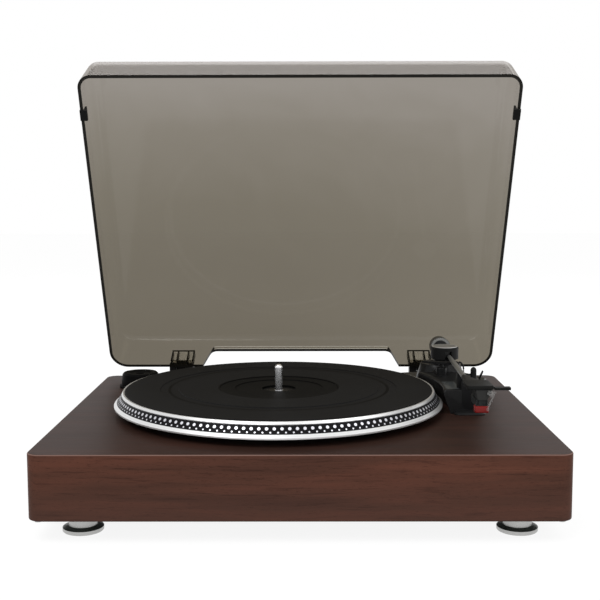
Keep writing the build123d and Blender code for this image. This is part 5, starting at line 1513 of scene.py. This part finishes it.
@dataclass
class ArmBase(Assembly):
    """The moulding that carries the tonearm, hugging the platter.

    Args:
        nodes: the nodes of the shared looks.
        foot_radius: radius of its inner wall at the plinth.
        deck_radius: radius of its inner wall at the deck.
        deck: height of the deck.
        low: height of the lower rear part.
        front: y of its front face.
        edge: radius of its top edge.
        mound: centre of the mound.
        mound_radii: radius of the mound's top and foot.
        mound_top: height of the mound's top.
        step_y: y of the step down to the low part.
        step_width: length of the step.
        step_bend: x where the step starts to run forward, its reach from there and its slope.
        outer: points that the outer wall passes near.
        inner_end: angle in degrees where the inner wall ends.
        spread: how far the outer wall's foot stands out.
        rows: sections along the moulding.
        columns: points across its deck.
        flange_rear: y of the flange's rear, inside the moulding.
        flange_steps: rise, left, right, front and corner radius of the flange's loops.
        pedestal: radius and height of the drum's pedestal.
        tower: radius and height of the lift's tower.
        tower_place: x and y of the tower.
        panel: left, right and rear of the glossy panel, whose lighter bluish colour is a painted highlight.
    """

    nodes: tuple = (
        (Look.BLACK_GLOSS, ("arm_base",)),
        (Look.ZINC, ("arm_bush",)),
        (Look.STEEL, ("arm_nut",)),
    )
    foot_radius: float = 157.0
    deck_radius: float = 150.6
    deck: float = 2.0
    low: float = -8.0
    front: float = -23.0
    edge: float = 2.2
    mound: tuple = (160.5, 86.0)
    mound_radii: tuple = (19.5, 24.5)
    mound_top: float = 8.0
    step_y: float = 66.0
    step_width: float = 2.5
    step_bend: tuple = (180.0, 30.0, 2.0)
    outer: tuple = (
        (181.0, -23.0),
        (194.0, 18.0),
        (200.0, 62.0),
        (191.0, 104.0),
        (162.0, 121.0),
        (121.0, 116.0),
    )
    inner_end: float = 48.0
    spread: float = 0.6
    rows: int = 150
    columns: int = 60
    flange_rear: float = -12.0
    flange_steps: tuple = (
        (0.0, 157.6, 186.0, -33.5, 6.0),
        (0.7, 157.6, 186.0, -33.5, 6.0),
        (1.5, 158.2, 185.4, -32.8, 5.6),
        (3.8, 160.0, 184.0, -26.5, 4.0),
    )
    pedestal: tuple = ((11.0, 7.0), (11.0, 11.7), (10.6, 12.2), (9.8, 12.3))
    tower: tuple = ((5.0, 1.0), (5.0, 8.4), (4.6, 8.9), (4.0, 9.0))
    tower_place: tuple = (156.55, 49.87)
    panel: tuple = (151.6, 163.4, 12.0)

    def height(self, x: np.ndarray, y: np.ndarray) -> np.ndarray:
        """Gives the top's height: the deck, a smooth step down to the low part, and a cone for the mound.

        Args:
            x: x of the points.
            y: y of the points.

        Returns:
            Their heights.
        """
        bend, reach, slope = self.step_bend
        step_y = self.step_y - slope * np.clip(x - bend, 0.0, reach)
        share = np.clip((y - step_y) / self.step_width + 0.5, 0.0, 1.0)
        share = share * share * (3.0 - 2.0 * share)
        floor = self.deck + (self.low - self.deck) * share
        distance = np.hypot(x - self.mound[0], y - self.mound[1])
        top, foot = self.mound_radii
        rise = np.clip((foot - distance) / (foot - top), 0.0, 1.0)
        return floor + (self.mound_top - floor) * rise

    def wall_radius(self, z: np.ndarray) -> np.ndarray:
        """Gives the inner wall's radius, which leans over the platter's rim.

        Args:
            z: heights.

        Returns:
            The radius at each height.
        """
        share = (self.deck - z) / (self.deck - TOP_Z)
        return self.deck_radius + (self.foot_radius - self.deck_radius) * share

    def outer_wall(self, share: np.ndarray) -> np.ndarray:
        """Gives the outer wall's plan: x and y each follow a curve of the fourth degree.

        Args:
            share: places along the wall, 0 to 1.

        Returns:
            Rows of x and y.
        """
        points = np.array(self.outer)
        place = np.linspace(0.0, 1.0, len(points))
        wall = np.stack([np.polyval(np.polyfit(place, part, 4), share) for part in points.T], -1)
        wall[0] = points[0]
        return wall

    def front_lips(self, section: np.ndarray) -> list:
        """Rounds the front edge with copies of the first section, moved on a quarter circle.

        Args:
            section: the first section.

        Returns:
            The copies, from the front face on.
        """
        lips = []
        for angle in arc(0, 75, 5):
            lip = section.copy()
            lip[:, 1] += self.edge * (1 - math.cos(angle)) - self.edge
            lip[1:-1, 2] -= self.edge * (1 - math.sin(angle))
            lips.append(lip)
        return lips

    def body(self) -> np.ndarray:
        """Works the moulding out from its inner arc, its outer curve and the height between them.

        Returns:
            Rows along it, columns round each section.
        """
        share = np.linspace(0.0, 1.0, self.rows)
        outer = self.outer_wall(share)
        start = math.asin(self.front / self.deck_radius)
        turn = start + (math.radians(self.inner_end) - start) * share
        ray = np.stack([np.cos(turn), np.sin(turn)], -1)
        inner = ray * self.deck_radius
        inner = ray * self.wall_radius(self.height(inner[:, 0], inner[:, 1]))[:, None]
        across = outer - inner
        across /= np.linalg.norm(across, axis=1)[:, None]
        quarter = arc(0, 90, 6)
        inset = (self.edge * (1 - np.cos(quarter)))[None, :, None]
        near = inner[:, None, :] + across[:, None, :] * inset
        far = outer[:, None, :] - across[:, None, :] * inset[:, ::-1]
        step = np.linspace(0.0, 1.0, self.columns + 2)[1:-1][None, :, None]
        middle = near[:, -1:, :] + (far[:, :1, :] - near[:, -1:, :]) * step
        top = np.concatenate([near, middle, far], axis=1)
        drop = 1 - np.sin(quarter)
        fall = np.concatenate([drop, np.zeros(self.columns), drop[::-1]]) * self.edge
        level = self.height(top[..., 0], top[..., 1]) - fall[None, :]
        foot_in = (ray * self.foot_radius)[:, None, :]
        foot_out = (outer + across * self.spread)[:, None, :]
        plan = np.concatenate([foot_in, top, foot_out], axis=1)
        base = np.full((self.rows, 1), TOP_Z)
        level = np.concatenate([base, level, base], axis=1)
        grid = np.concatenate([plan, level[..., None]], -1)
        lips = self.front_lips(grid[0])
        grid[:, :, 1] = np.maximum(grid[:, :, 1], self.front)
        return np.concatenate([np.stack(lips), grid], axis=0)

    def flange(self) -> np.ndarray:
        """Gives the low flange at its front foot.

        Returns:
            Rows, columns and three coordinates.
        """
        loops = [
            rounded(left, right, front, self.flange_rear, corner)
            for _, left, right, front, corner in self.flange_steps
        ]
        return raised(loops, [TOP_Z + step[0] for step in self.flange_steps])

    def posts(self) -> list:
        """Gives the round pedestal under the drum and the lift's tower.

        Returns:
            Two turned grids.
        """
        pedestal = turned_rows(PIVOT, np.array(self.pedestal))
        tower = turned_rows(self.tower_place, np.array(self.tower))
        return [pedestal, tower]

    def highlight_inlay(self) -> np.ndarray:
        """Gives the glossy panel let into the front of the deck.

        Returns:
            Rows, columns and three coordinates.
        """
        left, right, rear = self.panel
        return block((left, right), (self.front + 1.6, rear), (self.deck - 1.0, self.deck + 0.35), 2.0, 0.3)

    def build(self) -> None:
        """Dresses the base's nodes, and builds the moulding and its panel."""
        self.dress()
        surfaces = [self.body(), self.flange(), *self.posts()]
        shell = Piece("arm_base_shell", "plinth", "black_gloss", surfaces, ("arm_base",), 30.0)
        shell.build(Look.BLACK_GLOSS.value.build("base_black"))
        # The panel's lighter colour is a painted highlight on the deck's front.
        panel = Piece("deck_panel", "plinth", "black_gloss", [self.highlight_inlay()])
        panel.build(Look.PANEL_GLOSS.value.build("panel_gloss"))


@dataclass
class Rest(Assembly):
    """The arm rest, its clip, the lift and the cue lever.

    Args:
        nodes: the nodes of the shared looks.
        left: left side of the rest's block.
        right: right side of the rest's block.
        top: height of the block.
        block_y: front and rear of the block.
        block_foot: height of the block's foot, on the base's front face.
        cradle_x: left and right side of the cradle under the tube.
        cradle_y: front and rear of the cradle.
        cradle_z: bottom and top of the cradle.
        post: x and y of the clip's post.
        tube: x and z of the tube where it rests.
        post_foot: radius and rise of the post's foot and stem.
        nose: height where the post's nose starts, its radius and its own height.
        hook_radii: half width and half height of the hook's arch.
        hook_end: x and z of the hook's straight end.
        hook_radius: radius of the hook's wire.
        lever_foot: lower end of the cue lever.
        lever_tip: upper end of the cue lever.
        lever_half: half width and half thickness of the lever.
    """

    nodes: tuple = (
        (Look.BLACK_MATTE, ("lift_platform", "cue_lever", "arm_rest", "arm_clip")),
        (Look.STEEL, ("lever_pin",)),
    )
    left: float = 164.6
    right: float = 182.4
    top: float = 9.2
    block_y: tuple = (-25.4, -9.0)
    block_foot: float = -16.6
    cradle_x: tuple = (161.8, 168.6)
    cradle_y: tuple = (-19.0, -12.0)
    cradle_z: tuple = (1.0, 15.3)
    post: tuple = (176.7, -16.0)
    tube: tuple = (163.4, 18.5)
    post_foot: tuple = ((4.2, 0.0), (3.0, 1.2), (2.75, 3.0))
    nose: tuple = (17.6, 2.7, 3.3)
    hook_radii: tuple = (4.3, 6.9)
    hook_end: tuple = ((168.6, 14.2), (171.5, 14.0), (174.6, 14.2))
    hook_radius: float = 0.75
    lever_foot: tuple = (190.6, 36.0, 0.0)
    lever_tip: tuple = (190.0, 10.9, 12.3)
    lever_half: tuple = (1.7, 0.62)

    def rest(self) -> list:
        """Gives the block on the front face and the cradle under the tube.

        Returns:
            Two grids.
        """
        front = block((self.left, self.right), self.block_y, (self.block_foot, self.top), 1.2, 0.8)
        return [front, block(self.cradle_x, self.cradle_y, self.cradle_z, 1.2, 0.6)]

    def clip(self) -> list:
        """Gives the round-nosed post and the thin hook that reaches over the tube.

        Returns:
            A turned grid and a swept grid.
        """
        nose_z, nose_radius, nose_rise = self.nose
        bend = arc(0, 85, 9)
        foot = [(radius, self.top + rise) for radius, rise in self.post_foot]
        stem = [(nose_radius, nose_z - 0.6)]
        nose = np.stack([nose_radius * np.cos(bend), nose_z + nose_rise * np.sin(bend)], -1)
        post = turned_rows(self.post, np.concatenate([foot, stem, nose]))
        turn = arc(-42, 88, 16)[::-1]
        arch_x = self.tube[0] + self.hook_radii[0] * np.cos(turn)
        arch_z = self.tube[1] + self.hook_radii[1] * np.sin(turn)
        wire = np.concatenate([np.stack([arch_x, arch_z], -1), self.hook_end])
        path = np.stack([wire[:, 0], np.full(len(wire), self.post[1]), wire[:, 1]], -1)
        return [post, swept(path, np.full(len(wire), self.hook_radius), 12)]

    def lever(self) -> list:
        """Gives the thin cue lever, a flat bar whose half width follows sqrt(1 - t ** 8) to its round ends.

        Returns:
            One grid.
        """
        foot = np.array(self.lever_foot)
        tip = np.array(self.lever_tip)
        along = np.linspace(0.0, 1.0, 12)
        path = foot + (tip - foot) * along[:, None]
        half_width, half_thickness = self.lever_half
        half = half_width * np.sqrt(np.clip(1.0 - (2.0 * along - 1.0) ** 8, 0.02, 1.0))
        turn = np.arange(16) * (FULL_TURN / 16)
        normal = np.array([0.0, tip[2] - foot[2], foot[1] - tip[1]])
        normal /= np.linalg.norm(normal)
        flat = np.cos(turn)[None, :, None] * half[:, None, None] * normal
        thick = np.sin(turn)[None, :, None] * half_thickness * np.array([1.0, 0.0, 0.0])
        return [path[:, None, :] + flat + thick]

    def build(self) -> None:
        """Dresses the nodes of the rest and the lift, and builds the three pieces."""
        self.dress()
        finish = Look.BLACK_MATTE.value.build("rest_black")
        Piece("rest_block", "plinth", "black_matte", self.rest(), ("arm_rest",)).build(finish)
        Piece("rest_clip", "clip", "black_matte", self.clip(), ("arm_clip",)).build(finish)
        Piece("lift_lever", "lever", "black_matte", self.lever(), ("cue_lever",)).build(finish)


@dataclass
class Arm(Assembly):
    """The tonearm: its pivot, the straight tube, the head at its end and the weight behind it.

    Args:
        nodes: the nodes of the shared looks.
        rear: where the tube leaves the drum.
        front: where the tube ends.
        radii: radius of the tube at its rear and at its front.
        widening: how fast the tube reaches its front radius.
        plate_z: bottom and top of the head's plate.
        plate_x: left and right side of the head's plate.
        plate_y: front and rear of the head's plate.
        neck_start: half width and half height of the neck at the tube.
        neck_end: half width and half height of the neck at the plate.
        neck_z: height of the neck's end.
        overlap: how far the neck reaches over the tube and into the plate.
        face_top: left, right, front and rear of the face's top.
        face_foot: how far each of these moves down to its foot.
        face_z: top of the face, and its height.
        stylus_x: left and right side of the stylus body.
        stylus_y: front and rear of the stylus body.
        stylus_z: bottom and top of the stylus body.
    """

    nodes: tuple = (
        (Look.HEAD_BLACK, ("head_shell", "finger_lift")),
        (Look.STYLUS_RED, ("stylus_holder",)),
        (Look.STEEL, ("pitch_pins", "needle")),
        (Look.GIMBAL, ("arm_gimbal",)),
        (Look.CARTRIDGE, ("cartridge",)),
        (Look.TUBE, ("arm_tube",)),
    )
    rear: tuple = (168.0, 80.0, 15.4)
    front: tuple = (161.4, -64.0, 19.5)
    radii: tuple = (1.9, 2.4)
    widening: float = 2.2
    plate_z: tuple = (20.0, 23.5)
    plate_x: tuple = (154.2, 175.8)
    plate_y: tuple = (-120.3, -93.0)
    neck_start: tuple = (2.9, 2.8)
    neck_end: tuple = (9.0, 1.5)
    neck_z: float = 21.3
    overlap: float = 3.0
    face_top: tuple = (160.0, 175.8, -119.2, -94.0)
    face_foot: tuple = (2.4, -5.0, -1.6, -3.0)
    face_z: tuple = (23.0, 10.8)
    stylus_x: tuple = (160.6, 171.8)
    stylus_y: tuple = (-121.0, -112.0)
    stylus_z: tuple = (1.5, 6.9)

    def tube(self) -> np.ndarray:
        """Gives the tube: a circle carried along its axis, widening to the front.

        Returns:
            Rows, columns and three coordinates.
        """
        share = np.linspace(0.0, 1.0, 40)
        rear = np.array(self.rear)
        path = rear + (np.array(self.front) - rear) * share[:, None]
        radius = self.radii[0] + (self.radii[1] - self.radii[0]) * np.clip(share * self.widening, 0.0, 1.0)
        return swept(path, radius, 32)

    def neck(self) -> np.ndarray:
        """Gives the neck: sections that change from the tube's to the plate's by a power of their place.

        Returns:
            Rows, columns and three coordinates.
        """
        middle_x = (self.plate_x[0] + self.plate_x[1]) / 2
        start_y = self.front[1] + self.overlap
        end_y = self.plate_y[1] - self.overlap
        rows = []
        for part in np.linspace(0.0, 1.0, 14):
            flat = part ** 1.8
            half_x = self.neck_start[0] + (self.neck_end[0] - self.neck_start[0]) * flat
            half_z = self.neck_start[1] + (self.neck_end[1] - self.neck_start[1]) * flat
            x = self.front[0] + (middle_x - self.front[0]) * flat
            z = self.front[2] + (self.neck_z - self.front[2]) * flat
            corner = min(half_x, half_z) * 0.96
            loop = rounded(x - half_x, x + half_x, z - half_z, z + half_z, corner)
            y = np.full(len(loop), start_y + (end_y - start_y) * part)
            rows.append(np.stack([loop[:, 0], y, loop[:, 1]], -1))
        return np.stack(rows)

    def face(self) -> np.ndarray:
        """Gives the leaning body under the plate, narrower at its foot.

        Returns:
            Rows, columns and three coordinates.
        """
        left, right, front, rear = self.face_top
        move_left, move_right, move_front, move_rear = self.face_foot
        levels = np.linspace(0.0, 1.0, 10)
        loops = [
            rounded(left + move_left * s, right + move_right * s ** 1.2, front + move_front * s,
                    rear + move_rear * s, 1.4)
            for s in levels
        ]
        return raised(loops, self.face_z[0] - self.face_z[1] * levels)

    def build(self) -> None:
        """Dresses the arm's nodes, and builds the tube, the head and the stylus body."""
        self.dress()
        dress(DrumFinish().build("drum_finish"), "arm_yoke")
        dress(DialFinish().build("dial_finish"), "force_dial")
        dress(WeightFinish().build("weight_finish"), "counterweight")
        dress(ClearPlastic().build("clear_plastic"), "stylus_guard", "guard_pin")
        plate = block(self.plate_x, self.plate_y, self.plate_z, 3.2, 0.7)
        stylus = block(self.stylus_x, self.stylus_y, self.stylus_z, 1.6, 0.7)
        for name, slot, grid, replaced, look, finish in (
            ("tube_straight", "tube_metal", self.tube(), ("arm_tube",), Look.TUBE, "tube_grey"),
            ("head_moulding", "black_matte", plate, ("head_shell",), Look.HEAD_BLACK, "head_grey"),
            ("head_neck", "black_matte", self.neck(), (), Look.BLACK_MATTE, "neck_black"),
            # Painted light: the face takes the lighter copy of the head's black.
            ("head_face", "black_matte", self.face(), (), Look.HEAD_FRONT, "face_grey"),
            ("stylus_body", "stylus_red", stylus, ("stylus_holder",), Look.STYLUS_RED, "red_body"),
        ):
            Piece(name, "arm", slot, [grid], replaced).build(look.value.build(finish))


@dataclass
class Hinges:
    """The ribs of the cover's hinge sockets and the short hinge leaves, in the cover's own axes.

    Args:
        places: x of the two hinges from the cover's middle.
        ribs: x of the ribs from a hinge's middle.
        rib_half: half thickness of a rib.
        depth: how far a socket stands out.
        top: height of a socket's top above the rim.
        bottom: height of its open foot.
        barrel: y, height and radius of the hinge barrel.
        leaf_half: half width of a leaf.
        leaf_y: rear and front face of a leaf's foot.
        leaf_top: height of a leaf's foot.
    """

    places: tuple = (-130.0, 130.0)
    ribs: tuple = (-11.7, -5.6, 5.6, 11.7)
    rib_half: float = 0.75
    depth: float = 7.9
    top: float = 32.4
    bottom: float = 12.6
    barrel: tuple = (4.5, 6.85, 4.2)
    leaf_half: float = 4.8
    leaf_y: tuple = (2.6, 6.3)
    leaf_top: float = 15.5

    def socket(self, place: float) -> list:
        """Gives one socket's ribs and the bar on top of them.

        Args:
            place: x of the hinge.

        Returns:
            The grids.
        """
        half = self.rib_half
        bars = [
            block((place + x - half, place + x + half), (0.2, self.depth), (self.bottom, self.top), 0.3, 0.2)
            for x in self.ribs
        ]
        wide = (place + self.ribs[0] - 0.8, place + self.ribs[-1] + 0.8)
        bars.append(block(wide, (0.2, 1.3), (self.top - 1.3, self.top + 0.05), 0.3, 0.2))
        return [lid_to_model(bar) for bar in bars]

    def leaf(self, place: float) -> list:
        """Gives one leaf: the barrel, and the foot that goes up into the socket.

        Args:
            place: x of the hinge.

        Returns:
            The grids.
        """
        y, z, radius = self.barrel
        half = self.leaf_half
        turn = np.arange(32) * (FULL_TURN / 32)
        rows = []
        for x, scale in ((-half, 0.9), (0.4 - half, 1.0), (half - 0.4, 1.0), (half, 0.9)):
            circle_y = y + radius * scale * np.cos(turn)
            circle_z = z + radius * scale * np.sin(turn)
            rows.append(np.stack([np.full(32, place + x), circle_y, circle_z], -1))
        foot = block((place - half, place + half), self.leaf_y, (z, self.leaf_top), 0.5, 0.4)
        return [lid_to_model(np.stack(rows)), lid_to_model(foot)]


@dataclass
class Notch:
    """The lip along the upper edge of the cover's cut-out, in the cover's own axes.

    Args:
        rim_half: half width of the cut-out at the rim.
        top_half: half width at its top.
        top: height of its top above the rim.
        corner: radius of its corners.
        lip: height of the lip's lower edge.
        end: height at which the lip runs out on the slanted sides.
        wall: inner and outer face of the cover's wall.
        draft: how far the wall's inner face moves per unit of height.
        straight: place from the middle where the close points near the corner start.
    """

    rim_half: float = 106.0
    top_half: float = 96.5
    top: float = 34.0
    corner: float = 6.0
    lip: float = 29.4
    end: float = 22.0
    wall: tuple = (-3.4, -0.3)
    draft: float = 0.026
    straight: float = 84.0

    def half(self, depth: float) -> float:
        """Gives half the cut-out's width at a height, on its slanted side.

        Args:
            depth: height above the rim.

        Returns:
            The half width.
        """
        return self.rim_half + (self.top_half - self.rim_half) * (depth + 1.0) / (self.top + 1.0)

    def outline(self, reach: np.ndarray, top: float, corner: float) -> np.ndarray:
        """Gives the height of a flat top, a round corner and a slanted side.

        With the side's slope t = run over rise, a corner of radius r has its centre at
        half(top - r) - r * sqrt(1 + t * t), and touches the side r / sqrt(1 + t * t) past that.

        Args:
            reach: distances from the middle.
            top: height of the flat part.
            corner: radius of the corner.

        Returns:
            The heights.
        """
        slope = (self.rim_half - self.top_half) / (self.top + 1.0)
        tilt = math.sqrt(1.0 + slope * slope)
        centre = self.half(top - corner) - corner * tilt
        touch = centre + corner / tilt
        round_part = top - corner + np.sqrt(np.clip(corner ** 2 - (reach - centre) ** 2, 0.0, None))
        side = top - (reach - self.half(top)) / slope
        return np.where(reach < centre, top, np.where(reach < touch, round_part, side))

    def edge(self) -> np.ndarray:
        """Gives the lip between its upper and its lower outline.

        Returns:
            Rows from left to right, four corners of each section.
        """
        flat = np.linspace(0.0, self.straight, 12)
        bend = np.linspace(self.straight + 2.0, self.half(self.end), 40)
        side = np.concatenate([flat, bend])
        x = np.concatenate([-side[::-1], side[1:]])
        high = self.outline(np.abs(x), self.top, self.corner)
        low = np.minimum(self.outline(np.abs(x), self.lip, self.corner + 1.5), high - 0.02)
        inner = self.wall[0] + self.draft * (self.top - high)
        outer = np.full_like(x, self.wall[1])
        corners = ((inner, low), (outer, low), (outer, high), (inner, high))
        grid = np.stack([np.stack([x, across, level], -1) for across, level in corners], 1)
        return lid_to_model(grid)


@dataclass
class Cover(Assembly):
    """The smoked cover with its bumpers and its two hinges.

    Args:
        nodes: the nodes of the shared looks.
    """

    nodes: tuple = (
        (Look.HINGE_BLACK, ("hinge_base_left", "hinge_base_right", "hinge_leaf_left", "hinge_leaf_right")),
        (Look.PAD_RUBBER, ("lid_bumpers",)),
        (Look.STEEL, ("hinge_pins", "hinge_screws")),
    )

    def build(self) -> None:
        """Dresses the cover's nodes, and builds the hinges' pieces and the cut-out's lip."""
        self.dress()
        smoke = SmokedAcrylic().build("smoked_acrylic")
        dress(smoke, "dust_cover")
        ribs = Look.RIB_SMOKE.value.build("rib_smoke")
        black = Look.HINGE_BLACK.value.build("leaf_black")
        hinges = Hinges()
        for side, place in zip(("left", "right"), hinges.places):
            leaf = f"hinge_leaf_{side}"
            Piece(f"socket_ribs_{side}", "cover", "smoked_cover", hinges.socket(place)).build(ribs)
            Piece(f"leaf_{side}", "cover", "hinge_black", hinges.leaf(place), (leaf,)).build(black)
        Piece("notch_lip", "cover", "smoked_cover", [Notch().edge()]).build(smoke)


@dataclass
class Studio:
    """The pale floor and the soft light round the object.

    Args:
        floor_side: half the floor's side in metres.
        glow: light that the floor sends to the camera.
        shade: how much of the shadows shows on the floor.
        bounce: share of the light that the floor throws back on the object.
        sky: strength of the even light.
        lights: name, place, target, size in metres and power in watts of each light.
    """

    floor_side: float = 6.0
    glow: float = 0.89
    shade: float = 0.13
    bounce: float = 0.42
    sky: float = 0.75
    lights: tuple = (
        ("key", (-0.7, -1.0, 1.5), (0.0, 0.0, 0.0), (1.2, 0.9), 16.0),
        ("fill", (1.1, -0.9, 0.9), (0.0, 0.0, 0.0), (1.0, 1.0), 7.0),
        ("back", (0.1, 1.3, 1.3), (0.0, 0.1, 0.0), (1.6, 0.7), 12.0),
    )

    def floor(self) -> None:
        """Adds the floor, which glows to the camera and only throws light back to the object."""
        side = self.floor_side
        height = FLOOR_Z * MM
        points = [(-side, -side, height), (side, -side, height), (side, side, height), (-side, side, height)]
        mesh = bpy.data.meshes.new("floor")
        mesh.from_pydata(points, [], [(0, 1, 2, 3)])
        floor = bpy.data.objects.new("floor", mesh)
        bpy.context.scene.collection.objects.link(floor)
        tree = Tree("floor_white")
        glow = tree.shader("ShaderNodeEmission", Color=WHITE, Strength=self.glow)
        shade = tree.shader("ShaderNodeBsdfDiffuse", Color=grey(self.shade))
        chalk = tree.shader("ShaderNodeBsdfDiffuse", Color=grey(self.bounce))
        seen = tree.nodes.new("ShaderNodeAddShader")
        tree.put(seen.inputs[0], glow)
        tree.put(seen.inputs[1], shade)
        mesh.materials.append(tree.close(tree.blend(tree.in_view(), chalk, seen.outputs[0])))

    def area(self, name: str, place: tuple, target: tuple, size: tuple, power: float) -> None:
        """Adds one soft rectangular light.

        Args:
            name: name of the light.
            place: its position in metres.
            target: the point it faces.
            size: width and height in metres.
            power: power in watts.
        """
        data = bpy.data.lights.new(name, "AREA")
        data.shape = "RECTANGLE"
        data.size, data.size_y = size
        data.energy = power
        light = bpy.data.objects.new(name, data)
        aim = np.array(target) - np.array(place)
        flat = math.hypot(aim[0], aim[1])
        light.rotation_euler = (math.pi / 2 + math.atan2(aim[2], flat), 0.0, math.atan2(-aim[0], aim[1]))
        light.location = place
        bpy.context.scene.collection.objects.link(light)

    def build(self) -> None:
        """Adds the floor, the world and the lights."""
        self.floor()
        world = bpy.data.worlds.new("studio")
        bpy.context.scene.world = world
        world.use_nodes = True
        graph = Graph(world.node_tree)
        even = graph.shader("ShaderNodeBackground", Color=WHITE, Strength=self.sky)
        seen = graph.shader("ShaderNodeBackground", Color=WHITE, Strength=1.0)
        output = graph.nodes.new("ShaderNodeOutputWorld")
        graph.put(output.inputs["Surface"], graph.blend(graph.in_view(), even, seen))
        for light in self.lights:
            self.area(*light)


@dataclass
class Camera:
    """The camera that matches the photograph.

    Args:
        sensor: sensor width in millimetres.
        lens: focal length in millimetres.
        place: position in metres.
        tilt: how far it looks down, in radians.
        roll: turn about its own axis, in radians.
        heading: turn about the upright, in radians.
    """

    sensor: float = 36.0
    lens: float = 60.433
    place: tuple = (0.023241, -0.916555, 0.176645)
    tilt: float = 0.1046907
    roll: float = 0.0017184
    heading: float = 0.0036646

    def build(self) -> None:
        """Adds the camera and looks through it."""
        data = bpy.data.cameras.new("camera")
        data.sensor_width = self.sensor
        data.sensor_fit = "HORIZONTAL"
        data.lens = self.lens
        camera = bpy.data.objects.new("camera", data)
        camera.location = self.place
        camera.rotation_euler = (math.pi / 2 - self.tilt, self.roll, self.heading)
        bpy.context.scene.collection.objects.link(camera)
        bpy.context.scene.camera = camera


def corners(box: tuple) -> list:
    """Turns the two corners of a box into plain lists.

    Args:
        box: the lowest and the highest corner.

    Returns:
        The same corners as lists of metres.
    """
    return [list(corner) for corner in box]


def main() -> None:
    """Builds every sub-assembly, the studio and the camera."""
    logging.basicConfig(level=logging.INFO)
    bpy.context.scene.view_settings.view_transform = "Standard"
    for part in (Plinth(), Drive(), Electronics(), ArmBase(), Rest(), Arm(), Cover(), Studio(), Camera()):
        part.build()
        log.info("built: %s", type(part).__name__)


if __name__ == "__main__":
    main()
